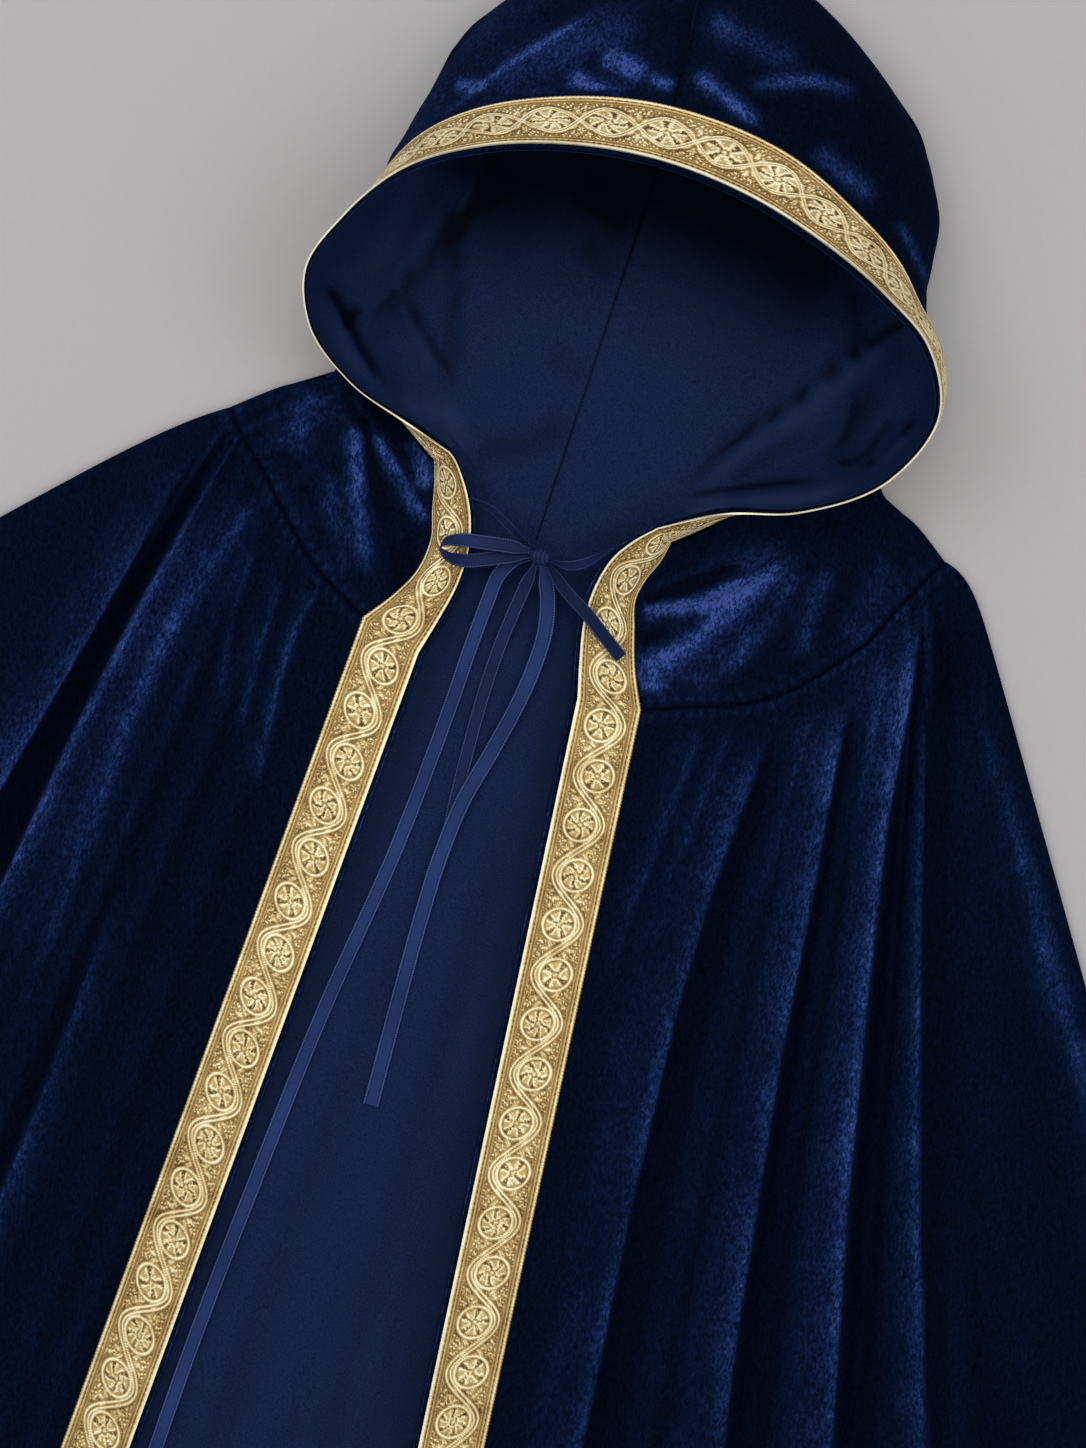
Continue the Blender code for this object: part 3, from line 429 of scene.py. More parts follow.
def yokeSurface(side, offsets, columns, shares):
    # top face of a yoke piece: rows from the neck to the yoke seam
    end = 0 if side == "left" else lastRow
    offsets, columns = np.asarray(offsets, float), np.asarray(columns, float)
    stops = np.concatenate([[0.0], offsets, [band["end"]]])
    bandLine, nextLine = (hoodSurface(np.array([float(row)]), stops)[0][0] for row in (end, abs(end - 0.02)))
    smooth = np.array(edgeStart[side], float).reshape(-1, 3)
    edges = np.vstack([bandLine[0], smooth, readPoints(strips[side], stripColumns, stripColumns[:3])])
    far = np.vstack([bandLine[-1], readPoints(strips[side], stripColumns, stripColumns[3:])])
    edgeLine = pathAt(edges, shares)
    farLine = pathAt(far, shares)
    part = (offsets / band["end"])[None, :, None]
    flat = edgeLine[:, None] * (1.0 - part) + farLine[:, None] * part
    shape = bandLine[1:-1] - (bandLine[0] * (1.0 - part[0]) + bandLine[-1] * part[0])
    strip = flat + shape[None] * (1.0 - eased(0.0, 0.8, shares))[:, None, None]
    front = frontSurface(side, np.concatenate([offsets, [band["end"]]]), columns, [0.0])[0][0]
    joined = eased(0.75, 1.0, shares)[:, None]
    strip = strip + (front[:len(offsets)] - strip[-1])[None] * joined[..., None]
    strip[0] += unit(bandLine - nextLine)[1:-1] * cloth["neckSeam"]
    if not len(columns):
        return strip
    base = neckEdge(side)
    reach = np.linalg.norm(base - base[0], axis=1)
    base = np.vstack([far[:1, :2], base[:1], base[int(np.argmax(reach > 4.0)):]])
    places = np.concatenate([[0.0], columns])
    top = pathAt(base, places)
    bottom = front[len(offsets):, :2]
    outer = pathAt(shoulderFold(side), shares)
    top[-1] = outer[0]
    s = np.asarray(shares)[:, None, None]
    a = places[None, :, None]
    plan = (
        (1 - s) * top[None] + s * bottom[None] + (1 - a) * farLine[:, None, :2] + a * outer[:, None]
        - (1 - s) * ((1 - a) * top[0] + a * top[-1]) - s * ((1 - a) * bottom[0] + a * bottom[-1])
    )[:, 1:]
    share = s[..., 0]
    beyond = eased(0.0, 0.25, columns)[None]
    high = yokeShape["neck"] * (1.0 - share) + front[len(offsets) + 1:, 2][None] * share
    high = high + yokeShape["swell"] * np.sin(math.pi * share) ** 2 * np.sin(math.pi * columns)[None]
    z = farLine[:, 2:3] * (1.0 - beyond) + high * beyond
    distance = np.linalg.norm(plan - outer[:, None], axis=2)
    grid = np.hstack([strip, np.dstack([plan, np.maximum(folded(z, distance), laid["foldTop"])])])
    grid[-1] += unit(grid[-2] - grid[-1]) * cloth["seam"]
    return grid


def folded(z, distance):
    # heights rounded down to the side fold, which is so far away
    return laid["foldTop"] + (z - laid["foldTop"]) * rounded(distance, laid["foldRadius"])


def crease(line, width, height, skew=0.0, fadeIn=0.2, fadeOut=0.25):
    return np.array(line, float), width, height, skew, fadeIn, fadeOut


def creaseHeight(places, table):
    # soft ridges, or troughs where the height is negative, along lines drawn on the plan; a skew
    # makes the flank on the line's right side steeper and the one on its left gentler
    x, y = places[..., 0], places[..., 1]
    total = np.zeros(x.shape)
    for row in table:
        line, width, height, skew, fadeIn, fadeOut = crease(*row)
        along = lengths(line)
        best = np.full(x.shape, 1e9)
        place = np.zeros(x.shape)
        for k in range(len(line) - 1):
            dx, dy = line[k + 1] - line[k]
            size = along[k + 1] - along[k]
            t = np.clip(((x - line[k, 0]) * dx + (y - line[k, 1]) * dy) / size**2, 0.0, 1.0)
            offX = x - line[k, 0] - dx * t
            offY = y - line[k, 1] - dy * t
            flank = width * (1.0 + skew * np.sign(dx * offY - dy * offX))
            scaled = np.hypot(offX, offY) / flank
            nearer = scaled < best
            best = np.where(nearer, scaled, best)
            place = np.where(nearer, (along[k] + size * t) / along[-1], place)
        fade = eased(0.0, fadeIn, place) * (1.0 - eased(1.0 - fadeOut, 1.0, place))
        total = total + height * np.exp(-best**2) * fade
    return total


def fold(line, width, height, steep, paintedSheen, dark=0.0, fadeIn=0.08, fadeOut=0.2):
    # a ridge with one steep flank, painted sheen of the pile on the gentle one and painted shadow
    # in the valley past the steep one; steep is 1 where that flank lies on the right and -1 on the left
    ridge = (line, width, height, -0.7 * steep, fadeIn, fadeOut)
    paintedSheens = [(line, width * 1.2, paintedSheen * 0.36, -0.9 * steep, fadeIn, fadeOut),
             (line, width * 0.36, paintedSheen * 0.75, -0.6 * steep, fadeIn, fadeOut)]
    if steep:
        valley = [(x + steep * width * 0.45, y) for x, y in line]
        paintedSheens.append((valley, width * 0.9, -dark, 0.6 * steep, fadeIn, fadeOut))
    return ridge, paintedSheens


def quads(a, turned):
    corners = (a[:-1, :-1], a[:-1, 1:], a[1:, 1:], a[1:, :-1])
    order = (0, 3, 2, 1) if turned else (0, 1, 2, 3)
    return np.stack([corners[k] for k in order], axis=2).reshape(-1, 4).tolist()


def closedShell(name, face, back, steps, values, uv=None):
    # closed wall: a fine face, and a back with only every few rows and columns of it
    rows, columns = face.shape[:2]
    pickRows, pickColumns = ([*range(0, count - 1, step), count - 1]
                             for count, step in zip((rows, columns), steps))
    picked = np.ix_(pickRows, pickColumns)
    top = np.arange(rows * columns).reshape(rows, columns)
    low = rows * columns + np.arange(len(pickRows) * len(pickColumns)).reshape(len(pickRows), -1)
    points = np.vstack([face.reshape(-1, 3), back[picked].reshape(-1, 3)])
    centre = face[rows // 2, columns // 2]
    facing = np.cross(face[rows // 2, columns // 2 + 1] - centre, face[rows // 2 + 1, columns // 2] - centre)
    outward = np.dot(facing, centre - back[rows // 2, columns // 2]) > 0
    faces = quads(top, not outward) + quads(low, outward)
    for picks, edges in ((pickColumns, ((top[0], low[0], False), (top[-1], low[-1], True))),
                         (pickRows, ((top[:, 0], low[:, 0], True), (top[:, -1], low[:, -1], False)))):
        for k, (i, j) in enumerate(zip(picks, picks[1:])):
            for upper, lower, turned in edges:
                run, ends = upper[i:j + 1].tolist(), lower[k:k + 2].tolist()
                wall = run + ends[::-1] if turned else run[::-1] + ends
                faces.append(wall if outward else wall[::-1])
    mesh = bpy.data.meshes.new(name)
    mesh.from_pydata((points * mm).tolist(), [], faces)
    if uv is not None:
        flatUv = np.vstack([uv.reshape(-1, 2), uv[picked].reshape(-1, 2)])
        layer = mesh.uv_layers.new(name="cloth")
        index = np.empty(len(mesh.loops), dtype=np.int32)
        mesh.loops.foreach_get("vertex_index", index)
        layer.data.foreach_set("uv", flatUv[index].astype(np.float32).ravel())
    for key, grid in values.items():
        layer = mesh.attributes.new(key, "FLOAT", "POINT")
        flatValue = np.concatenate([grid.ravel(), grid[picked].ravel()])
        layer.data.foreach_set("value", flatValue.astype(np.float32))
    mesh.validate()
    piece = bpy.data.objects.new(name, mesh)
    bpy.context.scene.collection.objects.link(piece)
    smoothShade(piece, 40)
    return piece


def smoothShade(piece, angle):
    bpy.ops.object.select_all(action="DESELECT")
    piece.select_set(True)
    bpy.context.view_layer.objects.active = piece
    bpy.ops.object.shade_smooth_by_angle(angle=math.radians(angle))
    piece.select_set(False)


def settle(piece, slot, material, *nodes):
    # the piece rides on the garment and stands for its solids; its slot is not used
    piece.data.materials.append(material)
    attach(piece, "root")
    if nodes:
        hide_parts(*nodes)


# materials, all from nodes on object coordinates, the band's own map or painted attributes
def newMaterial(name, sockets):
    material = bpy.data.materials.new(name)
    material.use_nodes = True
    shader = material.node_tree.nodes["Principled BSDF"]
    for key, value in sockets.items():
        shader.inputs[key].default_value = value
    return material, material.node_tree, shader


def feed(tree, socket, value):
    if isinstance(value, bpy.types.NodeSocket):
        tree.links.new(value, socket)
    else:
        socket.default_value = value


def addNode(tree, kind, inputs=None, **settings):
    node = tree.nodes.new(kind)
    for key, value in settings.items():
        setattr(node, key, value)
    for key, value in (inputs or {}).items():
        feed(tree, node.inputs[key], value)
    return node


def mathNode(tree, operation, *values, clamp=False):
    node = addNode(tree, "ShaderNodeMath", dict(enumerate(values)), operation=operation, use_clamp=clamp)
    return node.outputs[0]


def colourRamp(tree, source, stops):
    node = addNode(tree, "ShaderNodeValToRGB", {0: source})
    ramp = node.color_ramp
    for k, (place, colour) in enumerate((stops[0], stops[-1], *stops[1:-1])):
        stop = ramp.elements[k] if k < 2 else ramp.elements.new(place)
        stop.position = place
        stop.color = (*colour, 1.0)
    return node.outputs[0]


def spread(tree, source, low, high, top=1.0):
    # a noise's middle range drawn out to 0 and the top
    return colourRamp(tree, source, [(low, (0.0, 0.0, 0.0)), (high, (top, top, top))])


def roughened(tree, level, source, amount, clamp=False):
    # a level with a noise's swing about its middle added
    return mathNode(tree, "MULTIPLY_ADD", mathNode(tree, "SUBTRACT", source, 0.5), amount, level, clamp=clamp)


def ownMap(tree):
    return addNode(tree, "ShaderNodeUVMap", uv_map="cloth").outputs[0]


def painted(tree, name):
    return addNode(tree, "ShaderNodeAttribute", attribute_name=name).outputs["Fac"]


def objectPlaces(tree, scale=(1, 1, 1), turn=0.0):
    inputs = {0: addNode(tree, "ShaderNodeTexCoord").outputs["Object"], "Scale": scale,
              "Rotation": (0, 0, math.radians(turn))}
    return addNode(tree, "ShaderNodeMapping", inputs).outputs[0]


def noise(tree, places, scale, detail=2.0, rough=0.5, distortion=0.0):
    node = addNode(tree, "ShaderNodeTexNoise", {"Vector": places, "Scale": scale, "Detail": detail,
                                                "Roughness": rough, "Distortion": distortion})
    return node.outputs[0]


def mixColour(tree, factor, first, second):
    node = addNode(tree, "ShaderNodeMix", data_type="RGBA")
    for socket, value in ((0, factor), (6, first), (7, second)):
        feed(tree, node.inputs[socket], (*value, 1.0) if isinstance(value, tuple) else value)
    return node.outputs[2]


def dress(tree, shader, colour, height, distance, strength):
    tree.links.new(colour, shader.inputs["Base Color"])
    node = addNode(tree, "ShaderNodeBump", {"Height": height, "Distance": distance, "Strength": strength})
    tree.links.new(node.outputs[0], shader.inputs["Normal"])


# noises: scale, detail, roughness, distortion; a mix is what it is multiplied by, and added to
velvetLook = {
    "deep": (0.0006, 0.0015, 0.0048), "mid": (0.0024, 0.0068, 0.026), "lit": (0.0085, 0.0215, 0.088),
    "bright": (0.036, 0.066, 0.24), "speckle": (620.0, 3.0, 0.65, 0.6), "speckleRange": (0.38, 0.66),
    "speckleMix": (0.84, 0.56), "speckleAdd": 0.10, "crush": (30.0, 6.0, 0.68, 0.7),
    "crushRange": (0.36, 0.66), "crushMix": (0.66, 0.63), "bump": (0.0003, 0.6),
    "shader": {"Roughness": 0.85, "Specular IOR Level": 0.01, "Sheen Weight": 0.03, "Sheen Roughness": 0.4,
               "Sheen Tint": (0.2, 0.32, 1.0, 1.0)},
}


def makeVelvet():
    look = velvetLook
    material, tree, shader = newMaterial("velvetPile", look["shader"])
    specks = noise(tree, objectPlaces(tree, (1.0, 0.5, 1.0), 28), *look["speckle"])
    fine = spread(tree, specks, *look["speckleRange"])
    patches = noise(tree, objectPlaces(tree, (1.0, 0.6, 1.0), -12), *look["crush"])
    crushed = mathNode(tree, "MULTIPLY_ADD", spread(tree, patches, *look["crushRange"]), *look["crushMix"])
    # the level is the pile's tone with its painted light and shade, broken up by random crush and specks
    mottled = mathNode(tree, "MULTIPLY", painted(tree, "pileToneAndLight"), crushed)
    stroked = mathNode(tree, "MULTIPLY", mottled, mathNode(tree, "MULTIPLY_ADD", fine, *look["speckleMix"]))
    level = mathNode(tree, "MULTIPLY_ADD", fine, look["speckleAdd"], stroked, clamp=True)
    colour = colourRamp(tree, level, [(0.0, look["deep"]), (0.28, look["mid"]), (0.62, look["lit"]),
                                      (1.0, look["bright"])])
    dress(tree, shader, colour, specks, *look["bump"])
    return material


liningLook = {
    "dark": (0.0026, 0.0072, 0.0275), "light": (0.0072, 0.0174, 0.060), "paintedHighlight": (0.0125, 0.0240, 0.071),
    "shade": (0.0007, 0.0019, 0.0060), "weave": (1100.0, 2.0, 0.6), "weaveRange": (0.36, 0.62, 0.8),
    "clouds": (14.0, 3.0), "cloudMix": 0.5, "bump": (0.00012, 0.35),
    "shader": {"Roughness": 0.66, "Specular IOR Level": 0.03, "Sheen Weight": 0.01,
               "Sheen Tint": (0.3, 0.42, 1.0, 1.0)},
}


def makeLining():
    # the painted shade darkens the cloth above 0, and below 0 a painted highlight makes it paler
    look = liningLook
    material, tree, shader = newMaterial("liningSatin", look["shader"])
    threads = noise(tree, objectPlaces(tree, (1.0, 0.7, 1.0), 20), *look["weave"])
    clouds = noise(tree, objectPlaces(tree), *look["clouds"])
    weave = spread(tree, threads, *look["weaveRange"])
    level = mathNode(tree, "MULTIPLY_ADD", clouds, look["cloudMix"], weave, clamp=True)
    colour = mixColour(tree, level, look["dark"], look["light"])
    for sign, name in ((-1.0, "paintedHighlight"), (1.0, "shade")):
        share = mathNode(tree, "MULTIPLY", painted(tree, "shade"), sign, clamp=True)
        colour = mixColour(tree, share, colour, look[name])
    dress(tree, shader, colour, threads, *look["bump"])
    return material


# the satin's shaded and sheened colours, mixed by its painted sheen; the ribbon's selvedge and
# groove: distance from its middle and half their width
ribbonLook = {
    "dark": (0.0024, 0.0060, 0.0250), "light": (0.0180, 0.0355, 0.120), "edge": (0.060, 0.092, 0.235),
    "weave": (900.0, 2.0), "weaveMix": 0.30, "selvedge": (0.44, 0.045), "groove": (0.355, 0.035),
    "grooveMix": 0.55, "stitches": 420.0, "stitchGap": -0.45, "stitchMix": (0.5, 0.3), "bump": (0.0001, 0.3),
    "shader": {"Roughness": 0.40, "Specular IOR Level": 0.05, "Sheen Weight": 0.01,
               "Sheen Tint": (0.4, 0.5, 1.0, 1.0)},
}


def makeRibbon():
    look = ribbonLook
    material, tree, shader = newMaterial("ribbonSatin", look["shader"])
    split = addNode(tree, "ShaderNodeSeparateXYZ", {0: ownMap(tree)})
    fromMiddle = mathNode(tree, "ABSOLUTE", mathNode(tree, "SUBTRACT", split.outputs[1], 0.5))
    edge = mathNode(tree, "COMPARE", fromMiddle, *look["selvedge"])
    groove = mathNode(tree, "COMPARE", fromMiddle, *look["groove"])
    wave = mathNode(tree, "SINE", mathNode(tree, "MULTIPLY", split.outputs[0], look["stitches"]))
    dash = mathNode(tree, "GREATER_THAN", wave, look["stitchGap"])
    satinLight = painted(tree, "satinLight")
    threads = noise(tree, objectPlaces(tree, (1.0, 0.5, 1.0), 14), *look["weave"])
    level = roughened(tree, satinLight, threads, look["weaveMix"], clamp=True)
    face = mixColour(tree, level, look["dark"], look["light"])
    face = mixColour(tree, mathNode(tree, "MULTIPLY", groove, look["grooveMix"]), face, look["dark"])
    stitch = mathNode(tree, "MULTIPLY", mathNode(tree, "MULTIPLY", edge, dash),
                      mathNode(tree, "MULTIPLY_ADD", satinLight, *look["stitchMix"]))
    dress(tree, shader, mixColour(tree, stitch, face, look["edge"]), threads, *look["bump"])
    return material


# height to colour: darkest in the deepest grooves, partly brown weave and partly painted shade, palest on the
# highest threads, cream with a painted highlight
goldLook = {
    "stops": ((0.0, (0.022, 0.009, 0.002)), (0.20, (0.105, 0.052, 0.012)), (0.40, (0.32, 0.195, 0.056)),
              (0.70, (0.55, 0.39, 0.145)), (1.0, (1.0, 0.92, 0.63))),
    "weaveScale": (130.0, 38.0, 1.0), "weave": (1.3, 2.0, 0.7), "weaveMix": 0.55,
    "patches": (62.0, 2.0, 0.6), "patchMix": 0.42, "bump": (0.0006, 0.9),
    "shader": {"Metallic": 0.6, "Roughness": 0.32},
}


def makeGold():
    look = goldLook
    material, tree, shader = newMaterial("goldBrocade", look["shader"])
    places = addNode(tree, "ShaderNodeMapping", {0: ownMap(tree), "Scale": look["weaveScale"]}).outputs[0]
    level = roughened(tree, painted(tree, "relief"), noise(tree, places, *look["weave"]), look["weaveMix"])
    # random patches of painted glint, brighter and darker along the band
    patches = noise(tree, objectPlaces(tree), *look["patches"])
    level = roughened(tree, level, patches, look["patchMix"], clamp=True)
    dress(tree, shader, colourRamp(tree, level, look["stops"]), level, *look["bump"])
    return material


velvet = makeVelvet()
lining = makeLining()
ribbonSatin = makeRibbon()
gold = makeGold()
print("materials made")


# woven band: borders of cord and dashes, and a field of medallions on a scrolling stem
bandPattern = {
    "middle": 19.0, "pitch": 29.8, "stemSwing": 10.8, "ring": 9.5, "ringOffset": 2.0, "rosette": 8.5,
    "petals": (5, 4, 6, 5), "twists": (0.05, -0.06, 0.16, -0.22), "hoodPitch": 29.0, "hoodSwing": 9.4,
    "hoodStretch": 1.25, "leafStart": 2.4, "ground": 0.37, "gap": 0.50, "cord": 2.1, "dash": 3.4,
    "lift": 0.45,
}
# a sprig's leaves: angle, reach, size; its seeds; the border's threads: distance from the edge,
# half width, height, what breaks them up, and by how much
sprigLeaves = ((0, 4.6, 2.9), (-52, 4.4, 2.6), (52, 4.4, 2.6), (-88, 5.6, 2.0), (88, 5.6, 2.0))
sprigSeeds = ((-4.2, 7.6), (4.2, 7.6), (-2.2, 1.2), (2.2, 1.2))
borderThreads = ((1.2, 0.95, 0.58, "cord", 0.25), (2.6, 0.5, -0.36, "dash", 0.65),
                 (3.5, 0.5, 0.34, "cord", 0.0), (4.5, 0.4, -0.22, "cord", 0.0), (5.2, 0.4, 0.14, "cord", 0.0))


def raised(distance, half):
    return np.exp(-np.abs(distance / half) ** 3)


def twoCords(distance, apart, half):
    return np.maximum(raised(distance - apart, half), raised(distance + apart, half))


def rosette(du, dv, index):
    # flower of four to six petals, turned a little, pale at their edges, round a raised eye
    r = np.hypot(du, dv)
    petals, twist = (np.array(bandPattern[key])[index % 4] for key in ("petals", "twists"))
    lobe = np.abs(np.cos(petals * np.arctan2(dv, du) / 2.0 + twist * r))
    size = bandPattern["rosette"]
    window = eased(1.4, 2.6, r) * (1.0 - eased(size - 1.4, size + 0.3, r))
    petal = eased(0.30, 0.52, lobe) * (1.0 - 0.42 * raised((lobe - 1.0) / 0.22, 1.0) * eased(2.5, 4.0, r))
    return np.maximum(window * petal, 0.9 * raised(r, 1.4)), r


def leaf(du, dv, angle, reach, size):
    # one pointed leaf with its vein, leaning from straight across the band
    turned = math.radians(angle)
    along = dv * math.cos(turned) + du * math.sin(turned) - reach
    aside = du * math.cos(turned) - dv * math.sin(turned)
    body = raised(np.hypot(along / size, aside / (size * 0.42)), 1.0)
    return body * (1.0 - 0.55 * raised(aside, 0.3) * (np.abs(along) < size * 0.8))


def sprig(du, dv):
    parts = [leaf(du, dv, *row) for row in sprigLeaves]
    parts += [raised(np.hypot(du - x, dv - y), 0.8) for x, y in sprigSeeds]
    return np.maximum.reduce(parts)


def fromWave(v, angle, swing, pitch):
    # distance from a line that waves across the band
    slope = swing * np.sin(angle) * math.pi / pitch
    return (v - bandPattern["middle"] - swing * np.cos(angle)) / np.sqrt(1.0 + slope**2)


def frontFigure(u, v):
    # one waving stem with a ringed flower in each of its bends
    p = bandPattern
    index = np.floor(u / p["pitch"]).astype(int)
    side = np.where(index % 2 == 0, 1.0, -1.0)
    flower, r = rosette(u - (index + 0.5) * p["pitch"], v - (p["middle"] - side * p["ringOffset"]), index)
    stem = fromWave(v, math.pi * (u / p["pitch"] - 0.5), p["stemSwing"], p["pitch"])
    lines = np.maximum(raised(r - p["ring"], 0.95), twoCords(stem, 1.15, 0.7))
    near = np.maximum(raised(r - p["ring"], 2.0), raised(stem, 2.8))
    return flower, r, lines, near, np.round(u / p["pitch"]) * p["pitch"], r > p["ring"] + 0.9


def hoodFigure(u, v):
    # two crossing waves with a flower in each eye
    p = bandPattern
    index = np.round(u / p["hoodPitch"]).astype(int)
    across = v - p["middle"]
    flower, r = rosette((u - index * p["hoodPitch"]) / p["hoodStretch"], across, index)
    angle = math.pi * u / p["hoodPitch"]
    waves = [fromWave(v, angle, swing, p["hoodPitch"]) for swing in (p["hoodSwing"], -p["hoodSwing"])]
    lines = np.maximum(*[twoCords(wave, 0.75, 0.55) for wave in waves])
    near = np.maximum(*[raised(wave, 2.4) for wave in waves])
    around = np.abs(across) > p["hoodSwing"] * np.abs(np.cos(angle)) + 1.6
    return flower, r, lines, near, (np.floor(u / p["hoodPitch"]) + 0.5) * p["hoodPitch"], around


def bandRelief(u, v, figure):
    # height of the woven pattern, 0 in the grooves and 1 on the raised threads
    p = bandPattern
    flower, r, lines, near, nearest, around = figure(u, v)
    start = p["middle"] + p["leafStart"]
    tips = np.maximum(sprig(u - nearest, v - start), sprig(u - nearest, 2 * p["middle"] - start - v)) * around
    seeds = np.cos(u * 1.75 + 1.1 * np.sin(v * 0.8)) * np.cos(v * 1.9 + 1.2 * np.sin(u * 0.7))
    seeds = 0.56 * eased(0.25, 0.55, seeds) - ridgeAt(seeds, 0.36, 0.2) + 0.12 * eased(0.3, 0.6, -seeds)
    drawn = np.maximum(np.maximum(flower, tips), lines)
    field = p["ground"] + seeds * (1.0 - near) - p["gap"] * np.clip(near - lines, 0.0, 1.0)
    field = np.maximum(field, 0.24 + 0.74 * drawn) - 0.10 * (r < p["rosette"]) * (1.0 - flower) * (1 - lines)
    fromEdge = np.minimum(v, band["width"] - v)
    breaks = {"cord": 0.5 + 0.5 * np.cos(2.0 * math.pi * (u + 1.1 * fromEdge) / p["cord"]),
              "dash": 0.5 + 0.5 * np.cos(2.0 * math.pi * u / p["dash"])}
    border = 0.40 - 0.60 * raised(band["width"] - v, 0.7) * breaks["cord"] + 0.40 * raised(v, 0.9)
    for place, half, height, kind, share in borderThreads:
        border = border + height * raised(fromEdge - place, half) * (1.0 - share + share * breaks[kind])
    inField = eased(5.5, 6.3, fromEdge)
    return np.clip(border * (1.0 - inField) + field * inField, 0.0, 1.0)


# creases of the hood and the yoke, drawn on the plan: line, width, height, skew and the shares
# of the line over which it fades in and out; ridges stand up or inwards
hoodCreases = (
    (((8, 319), (-44, 304), (-71, 277), (-99, 246)), 9, 3.4, 0.3),
    (((-10, 352), (-52, 322), (-84, 291), (-118, 262)), 11, 3, -0.3),
    (((-30, 268), (-58, 262), (-86, 250)), 7, -1.8),
    (((8, 268), (31, 263), (58, 258), (81, 246), (116, 236), (150, 219)), 7, 3.4, 0.35),
    (((20, 288), (47, 275), (69, 286), (98, 296)), 10, 2.8, -0.25),
    (((36, 340), (70, 318), (112, 300), (140, 276)), 12, 2.6),
    (((144, 240), (162, 222), (183, 196)), 8, 2.4, 0.3),
    (((92, 262), (122, 252), (150, 236)), 8, -1.6),
)
liningCreases = (
    (((-88, 222), (-101, 186), (-112, 165), (-121, 143), (-133, 121), (-144, 96)), 9, 5, -0.5),
    (((-122, 128), (-105, 108), (-88, 92), (-79, 80)), 6, 3.2, -0.4),
    (((-105, 190), (-95, 149), (-80, 83)), 8, 2.6, -0.4),
    (((-163, 121), (-147, 101), (-134, 86), (-116, 67), (-107, 60)), 6, 3.6, -0.5),
    (((-100, 74), (-84, 62), (-70, 58)), 8, 2.6),
    (((-60, 196), (-52, 140), (-46, 84), (-40, 40)), 12, 1.8),
    (((178, 190), (156, 161), (141, 145), (123, 121), (94, 89), (67, 48)), 9, 5.5, 0.5),
    (((150, 140), (150, 112), (140, 76)), 6, 2.8, -0.3),
    (((191, 132), (174, 103), (162, 87)), 6, 2.6, 0.3),
    (((67, 45), (91, 56), (145, 73), (165, 92)), 6, 2.4, 0.3),
    (((112, 104), (128, 110), (140, 100)), 7, 1.8),
    (((40, 210), (52, 150), (48, 90)), 14, 1.6),
)
yokeCreases = {
    "left": (
        (((-172, 62), (-140, 19), (-100, -30)), 10, 4.5, 0.3, 0.2, 0.4),
        (((-138, 68), (-101, 35), (-78, 2)), 5, 3.6, 0.35),
        (((-150, 72), (-120, 36), (-86, -8)), 8, 4, -0.3),
        (((-187, 44), (-155, 2), (-118, -44)), 9, 2.8),
        (((-112, 62), (-94, 44), (-76, 24)), 4, 2.6),
    ),
    "right": (
        (((62, -12), (85, 2), (114, 20), (150, 48)), 5, 4.2, 0.4, 0.1),
        (((61, -26), (88, -12), (120, 10), (158, 46)), 7, 5.2, -0.3, 0.1),
        (((64, -66), (92, -36), (122, -6), (160, 40)), 10, 5.5, 0.3),
        (((150, -40), (162, 0), (176, 50)), 8, 3.6, 0.3),
        (((104, -66), (128, -34), (150, 0), (170, 44)), 8, 3),
        (((184, -12), (192, 22), (198, 58)), 7, 2.6),
    ),
}
# folds of the hood's wall that face away from above: place along the rim, width, height
wallFolds = ((60, 12, 3.0), (112, 9, 1.6), (168, 15, 3.4), (236, 11, 2.4), (300, 16, 3.8), (368, 12, 1.8),
             (441, 14, 3.2), (517, 10, 2.6), (583, 15, 2.0), (652, 12, 3.6), (716, 16, 2.8), (781, 10, 1.5))
# painted sheen where the pile is crushed and pale on the hood and the yoke, and painted shade where it lies
# dark
hoodSheenAndShade = (
    (((-44, 310), (-89, 263), (-127, 213)), 2.6, 0.5, 0, 0.2, 0.4),
    (((-40, 280), (-24, 276), (-8, 270)), 7, 0.95),
    (((-56, 263), (-34, 258), (-14, 254)), 5, 0.85),
    (((-10, 272), (8, 269)), 4, 0.75),
    (((-118, 247), (-96, 247)), 4, 0.7),
    (((12, 282), (26, 275), (47, 265), (62, 256)), 4.5, 0.85),
    (((45, 281), (81, 296), (112, 298)), 5, 0.6),
    (((88, 256), (112, 247), (136, 237)), 7, 0.55),
    (((146, 233), (164, 216), (178, 201)), 3.5, 0.5),
    (((8, 318), (48, 308), (78, 301)), 9, 0.4),
    (((-22, 316), (-42, 291), (-73, 268), (-98, 236)), 12, 0.34),
    (((30, 250), (62, 244), (96, 228)), 9, 0.3),
    (((-84, 232), (-60, 246), (-30, 248)), 6, 0.32),
)
